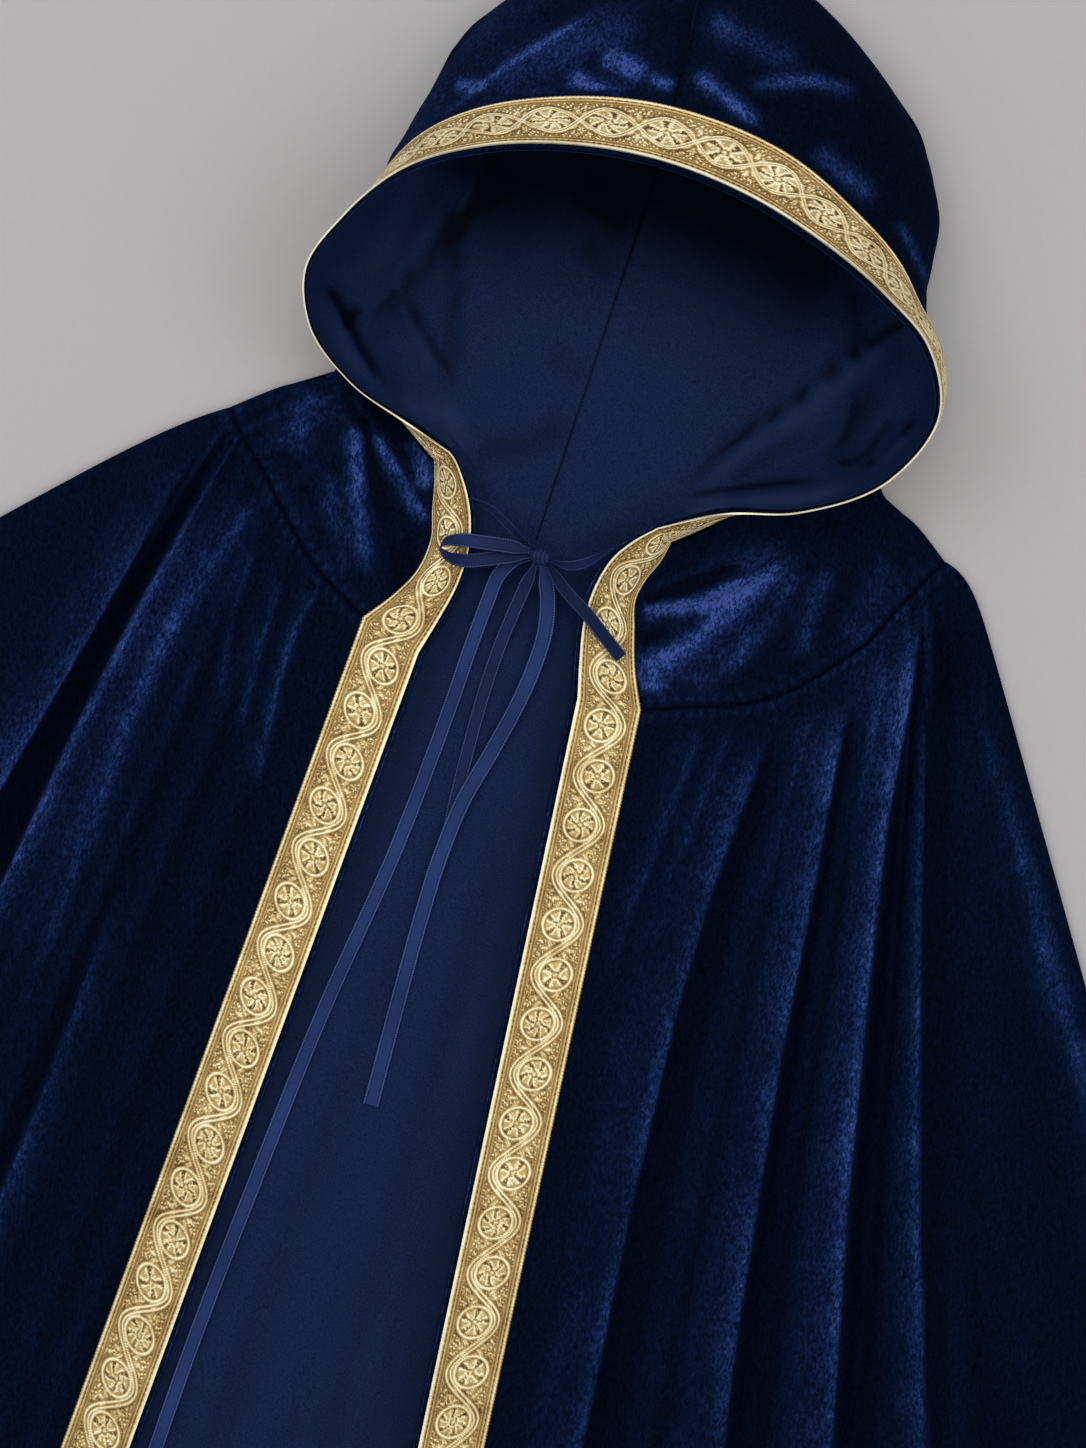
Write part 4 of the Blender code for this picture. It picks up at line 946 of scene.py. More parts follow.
yokeSheenAndShade = {
    "left": (
        (((-128, 50), (-116, 4), (-99, -42)), 6, 0.55, 0, 0.1),
        (((-117, 46), (-95, 19), (-73, -3)), 4, 0.5, 0, 0.1),
        (((-107, 38), (-69, -2)), 2.4, 0.4),
        (((-92, 48), (-76, 18)), 6, 0.65, 0, 0.1),
        (((-125, 57), (-114, 23), (-96, -5)), 3.5, -0.3),
        (((-154, 64), (-165, 18)), 11, 0.3),
        (((-140, 20), (-122, -18), (-110, -44)), 7, 0.22),
        (((-86, -10), (-80, -30), (-78, -52)), 7, -0.2),
    ),
    "right": (
        (((68, -60), (93, -28), (113, 1), (146, 37)), 10, 0.66, 0, 0.06),
        (((60, -13), (84, 4), (112, 22)), 2.6, -0.55, 0, 0.05),
        (((61, -18), (93, -7), (120, 14)), 5, 0.62, 0, 0.05),
        (((60, -36), (84, -30), (100, -8)), 5, -0.3),
        (((158, -27), (158, 6), (162, 40)), 6, 0.3),
        (((118, -48), (130, -10), (150, 30)), 5, 0.25),
        (((184, -12), (190, 14), (196, 50)), 10, 0.22),
        (((96, -60), (112, -34), (134, -6)), 11, 0.2),
        (((64, -64), (76, -60), (92, -56)), 4, 0.4),
    ),
}
# painted shadow in the lining's pockets, first under the forehead's rim, then beside the folded-in
# walls; a negative height is a painted highlight
liningShade = (
    (((-132, 184), (-90, 205), (-42, 217), (9, 220), (58, 214), (106, 200),
      (150, 181)), 46, 0.95, 0, 0.2, 0.15),
    (((-82, 218), (-95, 188), (-107, 164), (-117, 142), (-129, 119), (-140, 98)), 6, 0.5, 0.45, 0.05),
    (((-96, 208), (-116, 180), (-129, 150), (-143, 122)), 9, -0.35),
    (((-102, 188), (-92, 149), (-77, 83)), 5, 0.45, -0.3, 0.1),
    (((-120, 130), (-103, 109), (-86, 92), (-77, 80)), 3.5, 0.55, 0.3),
    (((-112, 108), (-98, 96), (-88, 84)), 6, -0.25),
    (((-163, 121), (-147, 103), (-134, 88), (-115, 69)), 3.2, 0.7, 0.4, 0.1),
    (((-158, 108), (-140, 84), (-124, 68)), 5, -0.35),
    (((-147, 96), (-145, 106), (-141, 117)), 3.8, 0.55),
    (((-118, 66), (-98, 64), (-76, 66), (-62, 44)), 8, -0.5, 0, 0.2, 0.1),
    (((-38, 216), (-14, 204), (4, 190)), 9, 0.16),
    (((-26, 186), (-12, 172), (0, 164)), 8, 0.2),
    (((-3, 83), (-27, 61), (-64, 46)), 9, 0.26),
    (((-30, 118), (-14, 110), (-2, 106)), 8, 0.18),
    (((176, 190), (153, 164), (138, 148), (120, 124), (91, 92), (64, 50)), 4, 0.6, -0.3, 0.1),
    (((170, 180), (158, 158), (144, 141), (126, 117), (98, 86), (74, 52)), 6, -0.45, 0, 0.15),
    (((162, 150), (157, 119), (144, 84)), 9, 0.42, 0, 0.3, 0.4),
    (((178, 128), (170, 112), (166, 98)), 3, 0.4),
    (((168, 104), (160, 96), (150, 92)), 3, 0.4),
    (((124, 108), (104, 82), (90, 66)), 6, 0.3),
    (((191, 132), (174, 103), (162, 87)), 2.5, 0.55),
    (((186, 118), (170, 96)), 4, -0.4),
    (((66, 52), (92, 63), (130, 76), (146, 82)), 2.5, 0.6),
    (((70, 43), (96, 54), (140, 66), (164, 84)), 5, -0.7, 0, 0.1),
    (((137, 199), (148, 154)), 8, 0.4),
)


def ridgeAt(distance, height, width):
    return height * np.exp(-(distance / width) ** 2)


def paintedSlopeLight(grid, base, share, strength):
    # painted light on the pile: paler where its slope faces the upper left, where the key light is,
    # and darker where it faces away
    slope = upwardNormals(grid)[..., :2] @ np.array([-0.93, 0.36])
    return base + share * np.clip(0.12 + strength * slope, 0.0, 1.0)


# how the hood's velvet and lining are shaped and painted: distances from the band, the rim or
# the seam over which things fade in, heights and widths of the seam's dip and its tones, the pile's
# painted light, which fades to dark on faces turned down, and the lining's painted shade
hoodCloth = {"bandPast": 1.05, "facing": (-0.1, 0.25), "creaseFade": 22.0, "wallFade": (8.0, 40.0),
             "seamDip": (1.1, 2.2), "seamFade": 8.0, "deepest": -0.7, "edgeRoll": 1.2, "sheenFade": 6.0,
             "seamDark": (0.12, 2.0), "pileToneAndLight": (0.0, 0.25, 1.0), "litFacingUp": (-0.1, 0.3)}
hoodSatin = {"lap": 0.5, "lapFade": 3.0, "creaseFade": (4.0, 26.0), "levelFade": (0.2, 0.7), "thick": 0.45,
             "seamDip": 0.5, "seamWidth": 1.2, "pocketShade": 1.4, "shadeFade": (2.0, 14.0),
             "seamShade": (0.8, 0.55), "edgeAt": 3.6, "edgeShade": (0.5, 0.7)}


def makeHood(side):
    look, floor = hoodCloth, hoodGrid["floorColumns"]
    rows = halfRows(side)
    bandStops = [*hoodGrid["edgeStops"], *np.linspace(band["start"], band["end"], hoodGrid["bandColumns"])]
    shift = (-0.5 if side == "left" else 0.5) * cloth["seam"]
    grid, runs = hoodSurface(rows, bandStops, hoodGrid["wallColumns"], floor, shift)
    normal = hoodNormals(rows, grid, floor)
    beyond = runs - (band["end"] * bandShare(rows) * look["bandPast"])[:, None]
    facing = eased(*look["facing"], normal[..., 2])
    soft = eased(0.0, look["creaseFade"], beyond)
    fromSeam = fromCentre(rows)[:, None]
    waves = sum(ridgeAt(rimRun(rows) - place, height, width) for place, width, height in wallFolds)
    fromFloor = runs[:, [-floor - 1]] - runs
    lifted = creaseHeight(grid, hoodCreases) * soft * facing
    lifted += waves[:, None] * eased(*look["wallFade"], fromFloor) * soft * (1.0 - facing)
    drawn = ridgeAt(fromSeam, *look["seamDip"]) * (normal[..., 2] > -0.5)
    lifted -= drawn * eased(0.0, look["seamFade"], beyond)
    rolled = (1.0 - rounded(runs, look["edgeRoll"])) * cloth["velvet"] * 0.5
    face = grid + normal * (np.maximum(lifted, look["deepest"]) - rolled)[..., None]
    face[..., 2] = np.maximum(face[..., 2], 0.0)
    # painted sheen and shade of the crushed pile and painted light by the slope, faded out on faces turned
    # down
    paintedSheen = creaseHeight(face, hoodSheenAndShade) * eased(0.0, look["sheenFade"], beyond)
    paintedSheen = paintedSlopeLight(face, *look["pileToneAndLight"]) + paintedSheen - ridgeAt(fromSeam, *look["seamDark"])
    pileToneAndLight = np.clip(paintedSheen, 0.0, 1.0) * eased(*look["litFacingUp"], normal[..., 2])
    piece = closedShell("hoodVelvet_" + side, face, grid - normal * cloth["velvet"], (4, 3), {"pileToneAndLight": pileToneAndLight})
    settle(piece, "velvet", velvet, "hood_" + side)
    makeHoodLining(side, grid, normal, runs, fromSeam, shift)


def makeHoodLining(side, grid, normal, runs, fromSeam, shift):
    # its halves overlap a little all along the seam, so that no light comes through
    look, floor = hoodSatin, hoodGrid["floorColumns"]
    meeting = grid.copy()
    meeting[:, -floor:, 0] -= 1.5 * shift * np.arange(1, floor + 1) / floor
    meeting[:, :-floor, 0] -= np.sign(shift) * look["lap"] * (1.0 - eased(0.0, look["lapFade"], fromSeam))
    inside = meeting - normal * (cloth["velvet"] + cloth["seam"])
    seamLine = np.abs(inside[..., 0] - seamX(inside[..., 1]))
    ridges = creaseHeight(inside, liningCreases) * eased(*look["creaseFade"], runs)
    ridges *= 1.0 - eased(*look["levelFade"], normal[..., 2])
    dip = look["seamDip"]
    ridges = np.maximum(ridges + dip * eased(0.0, look["seamWidth"], seamLine) - dip, -dip)
    shown = inside - normal * (look["thick"] + ridges)[..., None]
    # painted shadow under the rim, in the fold pockets and along the rim's edge, painted highlights beside
    # the folds
    shade = creaseHeight(shown, liningShade[:1]) + look["pocketShade"] * creaseHeight(shown, liningShade[1:])
    shade = shade * eased(*look["shadeFade"], runs) + ridgeAt(seamLine, *look["seamShade"])
    shade += ridgeAt(runs - look["edgeAt"], *look["edgeShade"])
    piece = closedShell("hoodLining_" + side, shown[:, ::-1], inside[:, ::-1], (4, 3),
                        {"shade": shade[:, ::-1]})
    settle(piece, "lining", lining, "hood_lining_" + side)


# the bands' grids, where the right front's pattern starts, and the hood's stronger relief
trimGrid = {"columns": 57, "hoodRows": 600, "hair": 0.0006, "neckRows": 170, "frontRows": 1229,
            "frontPower": 1.14, "rightStart": 11.0, "contrast": (1.2, -0.05), "sunk": 0.35}
trimStops = np.linspace(band["start"], band["end"], trimGrid["columns"])


def weaveBand(place, side, grid, normal, relief, u, v, steps):
    # a wall on the strip, its face raised where the pattern's threads are
    top = cloth["seam"] + cloth["trim"] - trimGrid["sunk"]
    face = grid + normal * (top + bandPattern["lift"] * relief)[..., None]
    uv = np.dstack([u / 100.0, v / band["width"]])
    piece = closedShell("trim" + place + "_" + side, face, grid + normal * cloth["seam"], steps,
                        {"relief": relief}, uv)
    settle(piece, "trim", gold, "trim_" + place.lower() + "_" + side)


def makeHoodTrim(side):
    run = np.linspace(*halfEnds(side, trimGrid["hair"]), trimGrid["hoodRows"])
    rows = rowsAt(run)
    grid, _ = hoodSurface(rows, trimStops)
    u, v = np.meshgrid(run - rimRun(foreheadRow), trimStops - band["start"], indexing="ij")
    factor, shift = trimGrid["contrast"]
    relief = np.clip(factor * bandRelief(u, v, hoodFigure) + shift, 0.0, 1.0)
    weaveBand("Hood", side, grid, hoodNormals(rows, grid), relief, u, v, (3, 6))


# the front's and the yoke's grids; the strip under the band has its own columns
stripStops = np.concatenate([[0.0, 0.4, 1.0, 2.0], np.linspace(band["start"], band["end"], 12)])
frontGrid = {"rows": 240, "rowPower": 1.35, "inner": (0.008, 0.80, 64), "outer": (0.81, 1.0, 38),
             "atFold": (-0.016, 0.014, 7), "leastStep": 0.0012}
yokeGrid = {"rows": (0.0, 1.0, 91), "columns": (0.01, 1.0, 100)}
# where folds and creases fade in, the pile's tone and painted light (base, share, strength of the
# slope that faces the light) and the painted sheen on the ripples by the seam
frontCloth = {"foldFade": 14.0, "seamFade": (-1.0, 30.0), "sideFade": 30.0, "pileToneAndLight": (0.02, 0.30, 0.7),
              "rippleSheen": (0.20, 0.9)}
yokeCloth = {"stripFade": 0.10, "sideFade": 25.0, "neckFade": 20.0, "seamShare": 0.35, "seamFade": 25.0,
             "pileToneAndLight": (0.05, 0.35, 0.8), "rippleSheen": (0.16, 0.8)}
# the rolled front edge and its pile, and a seam's dip and puckers, the painted sheen on them and its dark
# line
edgeCloth = {"roll": 1.2, "drop": 0.45, "turned": 0.8, "turnedNap": 0.52, "stripNap": 0.10}
seamCloth = {"dip": (0.9, 2.2), "pucker": (0.45, 6.0), "deepest": -1.1, "waves": (1.05, 0.37), "paleAt": 4.5,
             "paleWidth": 3.0, "dark": (0.25, 1.2)}
# places of the front's columns, close together at its folds
foldPlaces = {"left": (0.53, 0.70, 0.735, 0.765, 0.865, 0.89, 0.962),
              "right": (0.27, 0.30, 0.603, 0.81, 0.85, 0.918, 0.985)}
# main folds of the fronts, from the shoulder to the hem, and faint painted sheen streaks between them:
# line, width, height, steep side, painted sheen, painted valley shadow and the shares over which they fade
frontFolds = {
    "left": (
        (((-209, 28), (-223, -17), (-241, -84), (-261, -155), (-278, -213), (-363, -500), (-481, -900),
          (-582, -1240)), 10, 8, 1, 0.46, 0.1),
        (((-191, 21), (-203, -10), (-225, -92), (-245, -178), (-263, -272), (-314, -500), (-403, -900),
          (-479, -1240)), 13, 13, -1, 0.5, 0.32),
        (((-172, -4), (-190, -54), (-205, -104), (-214, -160), (-227, -265),
          (-243, -400)), 12, 4, 0, 0.36, 0, 0.05, 0.5),
        (((-192, -225), (-197, -257), (-203, -320), (-212, -392), (-220, -446), (-286, -900),
          (-335, -1240)), 10, 7, -1, 0.32, 0.1, 0.12),
        (((-126, -50), (-133, -75), (-135, -110), (-133, -181)), 4, 3, 0, 0.36),
        (((-148, -50), (-151, -90), (-151, -150)), 5, 2, 0, 0.26),
        (((-168, -36), (-171, -80), (-166, -132)), 4, 2, 0, 0.24),
        (((-120, -330), (-146, -560), (-176, -900), (-206, -1240)), 12, 7, 1, 0.16, 0.08, 0.3),
        (((-300, -330), (-350, -520), (-440, -900), (-520, -1240)), 10, 5, 1, 0.22, 0.1, 0.3),
        (((-290, -130), (-360, -260), (-560, -600), (-760, -960)), 22, 6, 0, 0.18, 0, 0.3),
    ),
    "right": (
        (((152, -62), (149, -87), (140, -171), (137, -243), (139, -357), (145, -503), (160, -900),
          (176, -1240)), 11, 8, 1, 0.34, 0.14, 0.04),
        (((192, -29), (192, -76), (197, -150), (203, -259), (217, -418), (225, -483), (258, -900),
          (285, -1240)), 12, 10, 1, 0.38, 0.16, 0.04),
        (((219, 28), (223, -28), (229, -106), (242, -200), (260, -321), (286, -468), (350, -900),
          (401, -1240)), 12, 14, 1, 0.46, 0.32, 0.04),
        (((225, 34), (237, -40), (255, -121), (298, -303), (340, -454), (443, -900),
          (522, -1240)), 9, 8, 1, 0.4, 0.1, 0.04),
        (((246, 8), (280, -50), (314, -106), (339, -154), (377, -215), (522, -500),
          (726, -900)), 13, 5, 0, 0.42, 0, 0.15),
        (((112, -74), (108, -110), (98, -180), (92, -260)), 7, 3, 0, 0.2, 0, 0.08, 0.5),
        (((130, -70), (122, -120), (112, -190)), 5, 2, 0, 0.18, 0, 0.08, 0.5),
        (((172, -52), (170, -110), (172, -200)), 5, 2, 0, 0.18, 0, 0.08, 0.5),
        (((207, -10), (210, -80), (216, -150)), 5, 2, 0, 0.22, 0, 0.08, 0.5),
        (((300, -250), (360, -420), (440, -620), (620, -1080)), 15, 7, 1, 0.16, 0.08, 0.35),
    ),
}


def frontColumns(side):
    spans = [np.linspace(*frontGrid[key]) for key in ("inner", "outer")]
    close = [place + np.linspace(*frontGrid["atFold"]) for place in foldPlaces[side]]
    columns = np.sort(np.concatenate(spans + close))
    columns = columns[np.diff(columns, prepend=-1.0) > frontGrid["leastStep"]]
    columns[-1] = 1.0
    return columns


def seamPucker(along, distance):
    # cloth drawn in along a seam, with small uneven puckers
    short, long = seamCloth["waves"]
    wave = np.cos(along * short) * np.cos(along * long + 1.0)
    drawn = wave * ridgeAt(distance, *seamCloth["pucker"]) - ridgeAt(distance, *seamCloth["dip"])
    return np.maximum(drawn, seamCloth["deepest"])


def seamSheen(along, distance, strength, ripple):
    # painted sheen on the ripples just past a seam, and a dark line in it
    paintedHighlight = ridgeAt(distance - seamCloth["paleAt"], strength, seamCloth["paleWidth"])
    return paintedHighlight * (0.5 + 0.5 * np.cos(along * ripple)) - ridgeAt(distance, *seamCloth["dark"])


def edgeDrop(columns):
    # how far the face sinks where it rounds over the front edge
    fromEdge = np.concatenate([stripStops, np.full(len(columns), 50.0)])
    return (1.0 - rounded(fromEdge, edgeCloth["roll"])) * cloth["velvet"] * edgeCloth["drop"]


def layVelvet(name, side, grid, under, pileToneAndLight, steps):
    # the strip under the band has an even pile, paler on the turned edge
    pileToneAndLight = np.clip(pileToneAndLight, 0.0, 1.0)
    pileToneAndLight[:, :len(stripStops)] = np.where(stripStops < edgeCloth["turned"], edgeCloth["turnedNap"],
                                        edgeCloth["stripNap"])
    piece = closedShell(name + "Velvet_" + side, grid, under, steps, {"pileToneAndLight": pileToneAndLight})
    settle(piece, "velvet", velvet, name + "_" + side)


def flatUnder(grid, normal):
    # underside, level where it lies on the table's cloths and lower at the side fold
    under = grid - normal * cloth["velvet"]
    atFold = np.linalg.norm(grid[..., :2] - grid[:, -1:, :2], axis=2) < 60.0
    under[..., 2] = np.maximum(under[..., 2], np.where(atFold, laid["foldUnder"], laid["under"]))
    return under


def makeFront(side):
    look, columns = frontCloth, frontColumns(side)
    shares = np.linspace(0.0, 1.0, frontGrid["rows"] + 1) ** frontGrid["rowPower"]
    grid, reach = frontSurface(side, stripStops, columns, shares)
    panel = np.repeat((0.0, 1.0), (len(stripStops), len(columns)))
    ridges, paintedSheens = zip(*[fold(*row) for row in frontFolds[side]])
    across = lengths(grid[0])
    inPanel = panel * eased(0.0, look["foldFade"], across - band["end"])
    fromFold = np.linalg.norm(grid[..., :2] - grid[:, -1:, :2], axis=2)
    plain = grid.copy()
    plain[..., 2] = folded(plain[..., 2], fromFold)
    extra = creaseHeight(grid, ridges) * inPanel * eased(*look["seamFade"], reach)
    extra = extra * rounded(fromFold, look["sideFade"]) + seamPucker(across, reach) * panel
    # painted sheen and painted valley shadow of the folds, and painted sheen on the seam's ripples
    paintedSheen = creaseHeight(grid, sum(paintedSheens, [])) * inPanel + seamSheen(across, reach, *look["rippleSheen"])
    grid[..., 2] = folded(grid[..., 2] + extra, fromFold) - edgeDrop(columns)
    under = flatUnder(plain, np.array([0.0, 0.0, 1.0]))
    layVelvet("front", side, grid, under, paintedSlopeLight(grid, *look["pileToneAndLight"]) + paintedSheen, (4, 3))


def makeYoke(side):
    look, columns = yokeCloth, np.linspace(*yokeGrid["columns"])
    plain = yokeSurface(side, stripStops, columns, np.linspace(*yokeGrid["rows"]))
    normal = upwardNormals(plain)
    panel = np.concatenate([stripStops * 0.0, columns])
    fromFold = rounded(np.linalg.norm(plain[..., :2] - plain[:, -1:, :2], axis=2), look["sideFade"])
    fromNeck = np.linalg.norm(plain - plain[:1], axis=2)
    fromSeam = np.linalg.norm(plain - plain[-1:], axis=2)
    across = lengths(plain[-1])
    ridges = creaseHeight(plain, yokeCreases[side]) * eased(0.0, look["stripFade"], panel)
    ridges *= eased(0.0, look["neckFade"], fromNeck)
    ridges *= look["seamShare"] + (1.0 - look["seamShare"]) * eased(0.0, look["seamFade"], fromSeam)
    grid = plain - normal * edgeDrop(columns)[:, None]
    grid[..., 2] += (ridges + seamPucker(across, fromSeam) * (panel > 0.0)) * fromFold
    # painted sheen and shade of the yoke's crushed pile, and painted sheen on the seam's ripples
    paintedSheen = creaseHeight(plain, yokeSheenAndShade[side]) + seamSheen(across, fromSeam, *look["rippleSheen"])
    layVelvet("yoke", side, grid, flatUnder(plain, normal), paintedSlopeLight(grid, *look["pileToneAndLight"]) + paintedSheen, (3, 3))


def makeFrontTrim(side):
    strip = yokeSurface(side, trimStops, [], np.linspace(0.0, 1.0, trimGrid["neckRows"]))
    count = trimGrid["frontRows"]
    front, _ = frontSurface(side, trimStops, [], (np.arange(1, count + 1) / count) ** trimGrid["frontPower"])
    grid = np.vstack([strip, front])
    run = lengths(grid[:, len(trimStops) // 2]) + (0.0 if side == "left" else trimGrid["rightStart"])
    u, v = np.meshgrid(run, trimStops - band["start"], indexing="ij")
    weaveBand("Front", side, grid, upwardNormals(grid), bandRelief(u, v, frontFigure), u, v, (4, 6))


# long soft swells of the lining between the fronts, which the ribbons ride over
backSwells = (
    (((-18, -90), (-42, -240), (-66, -420), (-86, -640)), 9, 1.5, 0.3),
    (((4, -110), (-2, -300), (-8, -520), (-14, -760)), 12, 1.9, -0.3),
    (((-22, -380), (-36, -560), (-52, -820)), 8, 1.3),
    (((12, -330), (14, -520), (10, -900)), 7, 1.4),
)
backGrid = {"rows": 260, "rowPower": 1.1, "columns": 81, "neck": 86.0, "hidden": 55.0, "length": 1280.0}
# painted shadow on the satin's sides beside the fronts, its own tone, and how far beside the swells
# their painted shade and painted highlight lie
backShade = {"sides": (0.45, 17.0), "sideFade": (20.0, 90.0), "plain": 0.08, "dark": (-11.0, 0.11),
             "paintedHighlight": (5.0, -0.07), "neckThick": 0.5, "neckFade": 30.0}


def backRows():
    return np.linspace(0.0, 1.0, backGrid["rows"] + 1) ** backGrid["rowPower"]


def backEdge(side):
    # the lining's side edge, hidden under the front, from the neck seam to the hem
    centre, direction = neckLine(side)
    down = np.array([direction[1], -direction[0]]) * (1.0 if direction[0] > 0.0 else -1.0)
    strip, _ = frontSurface(side, [0.0], [], (np.arange(17) / 16) ** 1.6)
    line = strip[:, 0, :2] + yokeSeam(side)[3] * backGrid["hidden"]
    line[-1, 1] += 20.0
    line = np.vstack([centre + direction * backGrid["neck"] - down * 0.9, line])
    run = lengths(line)
    places = backRows() * run[-1]
    return np.column_stack([np.interp(places, run, line[:, k]) for k in (0, 1)])


def makeBack():
    # the back's lining, bent to the neck's middle above and to the hem's below
    look, rows = backShade, backRows()
    centre, _ = neckLine("left")
    a = np.linspace(0.0, 1.0, backGrid["columns"])
    left, right = (backEdge(side)[:, None] for side in sideNames)
    plan = left * (1 - a)[None, :, None] + right * a[None, :, None]
    hem = centre - (0.0, backGrid["length"])
    for end, middle, fade in ((0, centre + (0.0, 0.9), 1.0 - eased(0.0, 0.08, rows)),
                              (-1, hem, eased(0.92, 1.0, rows))):
        share = (middle[0] - plan[end, 0, 0]) / (plan[end, -1, 0] - plan[end, 0, 0])
        straightY = plan[end, 0, 1] * (1 - share) + plan[end, -1, 1] * share
        bend = np.interp(a, [0.0, share, 1.0], [0.0, middle[1] - straightY, 0.0])
        plan[..., 1] += bend[None] * fade[:, None]
    low = cloth["velvet"] + cloth["seam"]
    back = np.dstack([plan, np.full(plan.shape[:2], low)])
    fromNeck = np.linalg.norm(plan - plan[:1], axis=2)
    thick = look["neckThick"] + (cloth["lining"] - look["neckThick"]) * eased(0.0, look["neckFade"], fromNeck)
    face = np.dstack([plan, low + thick + creaseHeight(plan, backSwells)])
    width = np.linalg.norm(plan[:, -1] - plan[:, 0], axis=1)[:, None]
    beside = np.maximum(np.minimum(a, 1.0 - a) * width - backGrid["hidden"], 0.0)
    # painted shadow beside the fronts, and painted shade and highlight on the swells' flanks
    shade = look["plain"] + ridgeAt(beside, *look["sides"]) * eased(*look["sideFade"], fromNeck)
    for aside, share in (look["dark"], look["paintedHighlight"]):
        shade += creaseHeight(plan + (aside, 0.0), backSwells) * share
    piece = closedShell("backLining", face, back, (6, 5), {"shade": shade})
    settle(piece, "lining", lining, "back_lining")
    for slot in bpy.data.objects["back"].material_slots:
        slot.material = velvet


for sideName in sideNames:
    makeHood(sideName)
    makeHoodTrim(sideName)
    makeFront(sideName)
    makeYoke(sideName)
    makeFrontTrim(sideName)
    print("hood, yoke, front and band made:", sideName)
makeBack()
print("back and its lining made")


# satin tie: the route of each strand, and its twist from lying flat (degrees)
strandColumns = ("x", "y", "z", "twist")
strands = {
    "tie_left": (
        (-50.4, 20.6, 14.6, 80), (-39, 18, 17, 62), (-28, 12, 19, 48), (-18, 5.5, 20, 62),
        (-9.0, 1.7, 19.8, 80),
    ),
    "tie_right": (
        (2.4, -3.4, 17.9, -60), (14, -3.5, 18, -30), (24, 1.5, 19, -35), (31, 8, 20.5, -70),
        (36.6, 13.2, 21.8, -84),
    ),
    "tie_loop": (
        (-10.6, -0.6, 18.4, 15), (-23, -1, 20, 10), (-38, -2.5, 21, 10), (-52, -4.5, 21, 25),
        (-60, -7.5, 20, 60), (-62, -11, 19, 90), (-58, -14.5, 18.2, 120), (-48, -15.5, 18, 160),
        (-36, -12, 17.5, 172), (-23, -7, 16.5, 176), (-10.3, -3.1, 15.7, 176),
    ),
    "tie_end_short": (
        (1.0, -5.5, 16.2, -30), (15, -18, 16.5, -20), (30, -28, 17, -5), (43, -38, 14.5, 0),
        (56, -48, 11.5, 0),
    ),
    "tie_tail_long": (
        (-9.8, -4.2, 14.2, 10), (-19, -8.5, 12, 10), (-25, -18, 10, 0), (-28, -36, 7, 0), (-31, -62, 4.2, 0),
        (-34, -96, 3.7, 0), (-45, -189, 3.7, 0), (-63, -289, 3.7, 0), (-78, -397, 3.7, 0),
        (-91, -503, 3.7, 0), (-103, -640, 3.7, 0),
    ),
    "tie_tail_under": (
        (-5.6, -6.5, 14.7, 0), (-8.6, -21, 11, 0), (-12, -40, 7.5, 0), (-15, -61, 4.6, 0),
        (-17, -85, 3.7, 0), (-18, -123, 3.7, 0), (-18, -150, 3.7, 0), (-17, -182, 3.7, 0),
    ),
    "tie_tail_over": (
        (-1.8, -6.6, 15.1, 0), (5, -22, 12.5, 0), (9, -43, 9, 0), (8, -64, 7, 0), (4, -88, 6, 0),
        (-3, -115, 5.4, 0), (-14, -154, 5.3, 0), (-19, -190, 5.1, 0), (-21, -226, 3.8, 0),
        (-22, -270, 3.7, 0), (-23, -338, 3.7, 0),
    ),
}
# how a strand ends and lies, whether its last point is where it leaves the garment, the painted
# sheen of its satin and its width
factColumns = ("far", "lay", "exitLast", "satinLight", "width")
strandFacts = {
    "tie_left": ("knot", "hanging", False, 0.35, 6.8),
    "tie_right": ("knot", "hanging", True, 0.42, 6.6),
    "tie_loop": ("object", "loose", False, 0.46, 8.3),
    "tie_end_short": ("bare", "loose", False, 0.14, 7.8),
    "tie_tail_long": ("bare", "loose", False, 0.80, 8.3),
    "tie_tail_under": ("bare", "loose", False, 0.34, 7.6),
    "tie_tail_over": ("bare", "loose", False, 0.82, 9.0),
}
tie = {"pinch": 0.45, "widens": (7.0, 18.0), "step": 1.6, "columns": 9, "cup": 0.25,
       "knot": (-4.2, -2.0, 17.0), "knotSize": (13.0, 10.0, 8.0), "knotTurns": 2.6}


def makeKnot():
    # round body wrapped by the ribbon's turns
    bpy.ops.mesh.primitive_uv_sphere_add(segments=56, ring_count=28, radius=0.5)
    piece = bpy.context.object
    piece.name = "tieKnot"
    satinLights = []
    for vert in piece.data.vertices:
        x, y, z = vert.co
        turn = x * 2.0 + 0.35 * math.sin(math.atan2(z, y))
        wrap = abs(math.sin(turn * math.pi * tie["knotTurns"])) ** 0.5
        swell = (0.86 + 0.15 * wrap) if abs(x) < 0.46 else 0.92
        # painted highlight on the crests of the wraps
        satinLights.append(0.06 + 0.5 * wrap**3)
        point = np.array([x * 0.98, y * swell, z * swell]) * tie["knotSize"] + tie["knot"]
        vert.co = point * mm
    piece.data.attributes.new("satinLight", "FLOAT", "POINT").data.foreach_set("value", satinLights)
    for loop in piece.data.uv_layers.active.data:
        loop.uv = (0.0, 0.5)
    piece.data.uv_layers.active.name = "cloth"
    smoothShade(piece, 60)
    settle(piece, "ribbon", ribbonSatin, "tie_knot")
    return piece


def ribbonRoute(name):
    points = readPoints(strands[name], strandColumns, strandColumns)
    knots = lengths(points[:, :3])
    places = np.linspace(0.0, knots[-1], max(int(knots[-1] / tie["step"]), 12) + 1)
    points = through(knots, points, places)
    route = points[:, :3]
    route[:, 2] += creaseHeight(route, backSwells)
    return route, np.radians(points[:, 3])


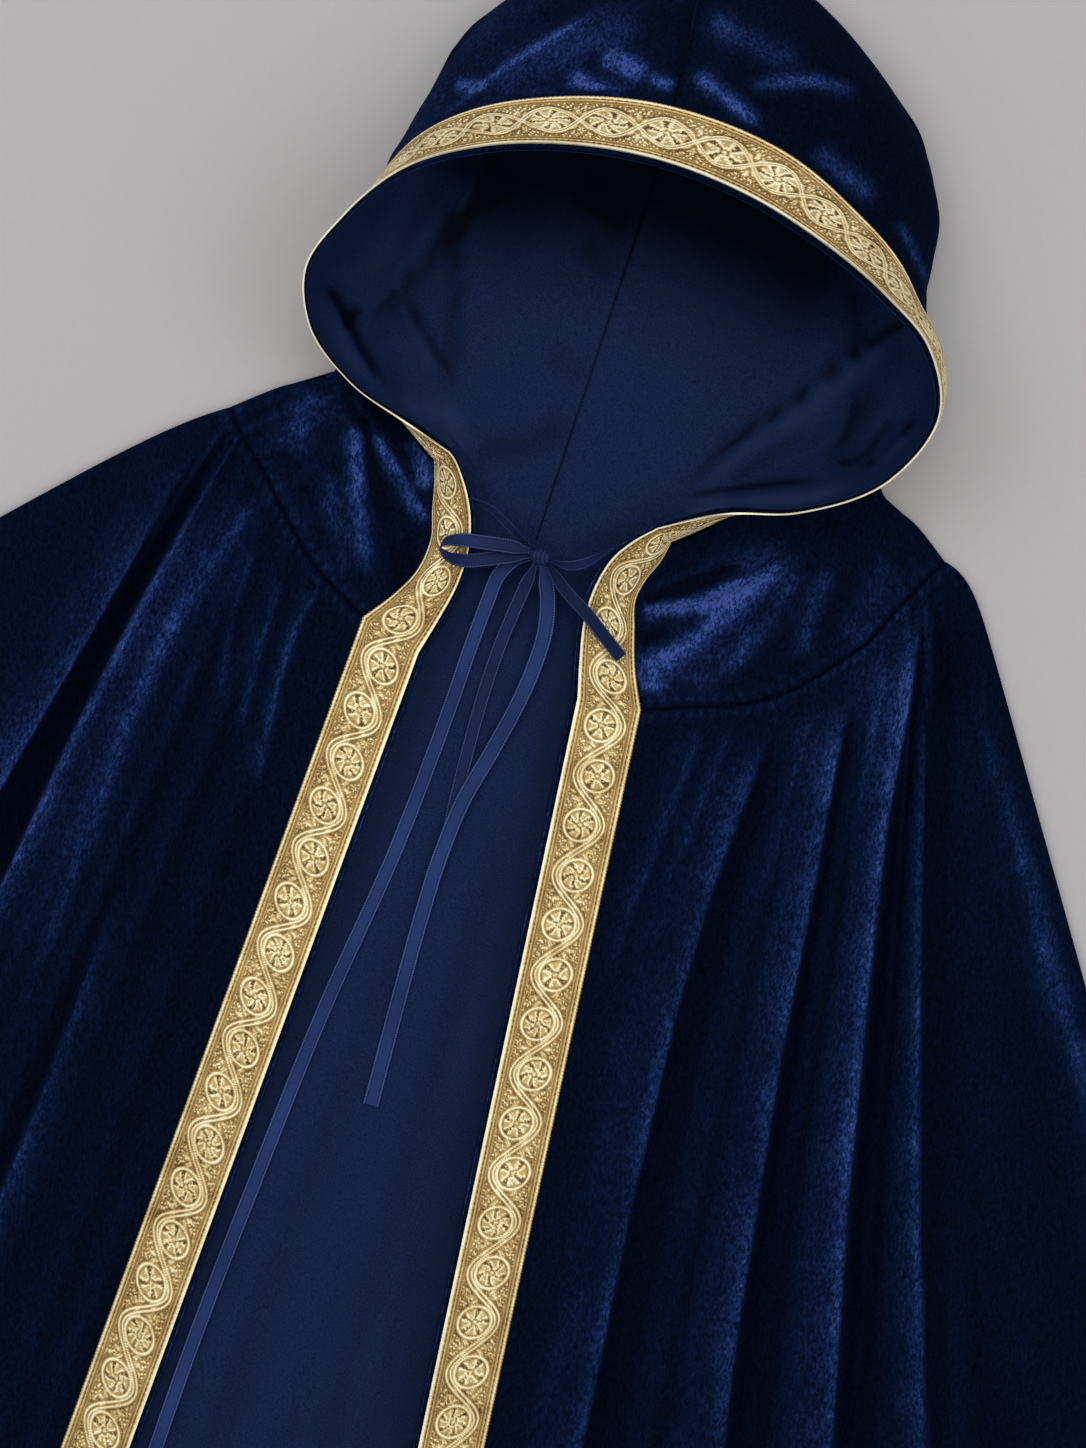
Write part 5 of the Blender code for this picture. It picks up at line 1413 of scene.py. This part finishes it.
def makeRibbonStrand(name):
    facts = dict(zip(factColumns, strandFacts[name]))
    route, twist = ribbonRoute(name)
    tangent = unit(np.gradient(route, axis=0))
    level = unit(np.column_stack([-tangent[:, 1], tangent[:, 0], tangent[:, 0] * 0.0]))
    aside = level * np.cos(twist)[:, None] + np.cross(tangent, level) * np.sin(twist)[:, None]
    normal = np.cross(tangent, aside)
    near = np.linalg.norm(route - tie["knot"], axis=1)
    width = facts["width"] * (tie["pinch"] + (1.0 - tie["pinch"]) * eased(*tie["widens"], near))
    across = np.linspace(-0.5, 0.5, tie["columns"])
    cup = cloth["ribbon"] * 0.5 + tie["cup"] * (2.0 * across**2 - 0.15)
    face = route[:, None] + aside[:, None] * (width[:, None] * across)[..., None]
    face = face + normal[:, None] * cup[None, :, None]
    back = face - normal[:, None] * cloth["ribbon"]
    run = lengths(route)
    uv = np.dstack(np.meshgrid(run / 100.0, across + 0.5, indexing="ij"))
    # painted sheen waving along the strand, and painted shade towards the knot
    waver = 1.0 + 0.16 * np.sin(run / 27.0 + len(name)) + 0.10 * np.sin(run / 9.5 + 2.0 * len(name))
    satinLight = facts["satinLight"] * (0.5 + 0.5 * eased(8.0, 45.0, near)) * waver
    satinLights = {"satinLight": np.repeat(satinLight[:, None], len(across), axis=1)}
    piece = closedShell(name.replace("tie_", "ribbon_"), face, back, (1, 2), satinLights, uv)
    settle(piece, "ribbon", ribbonSatin, name)


knotPiece = makeKnot()
for strandName in strands:
    makeRibbonStrand(strandName)
print("tie made")


# floor and soft studio light, brightest from the photograph's upper left; lights: place, size,
# power and the point they shine at
studio = {"floor": (0.41, 0.395, 0.39), "grain": (160.0, 3.0), "grainDark": 0.965,
          "air": (0.95, 0.97, 1.0, 1.0), "airStrength": 0.74,
          "shader": {"Roughness": 0.9, "Specular IOR Level": 0.1}}
lights = {
    "keyLight": ((-1.4, 0.4, 1.7), 1.3, 11.6, (0.0, 0.0, 0.0)),
    "fillLight": ((1.7, 0.1, 1.7), 1.8, 13.4, (0.0, -0.1, 0.0)),
    "topLight": ((-0.2, 0.9, 2.2), 1.4, 8.0, (0.0, 0.0, 0.0)),
}


def makeFloor():
    bpy.ops.mesh.primitive_plane_add(size=14.0, location=(0, 0, -0.0005))
    floor = bpy.context.object
    floor.name = "floor"
    material, tree, shader = newMaterial("paleFloor", studio["shader"])
    grain = noise(tree, objectPlaces(tree), *studio["grain"])
    darker = tuple(studio["grainDark"] * c for c in studio["floor"])
    tree.links.new(mixColour(tree, grain, studio["floor"], darker), shader.inputs["Base Color"])
    floor.data.materials.append(material)


def makeLight(name, place, size, power, aim):
    bpy.ops.object.light_add(type="AREA", location=place)
    light = bpy.context.object
    light.name = name
    light.data.shape = "DISK"
    light.data.size = size
    light.data.energy = power
    offset = np.array(aim) - np.array(place)
    flat = math.hypot(offset[0], offset[1])
    light.rotation_euler = (math.atan2(flat, -offset[2]), 0, math.atan2(offset[1], offset[0]) - math.pi / 2)


makeFloor()
for lightName, facts in lights.items():
    makeLight(lightName, *facts)
world = bpy.data.worlds.new("studio")
bpy.context.scene.world = world
world.use_nodes = True
world.node_tree.nodes["Background"].inputs[0].default_value = studio["air"]
world.node_tree.nodes["Background"].inputs[1].default_value = studio["airStrength"]
print("studio made")
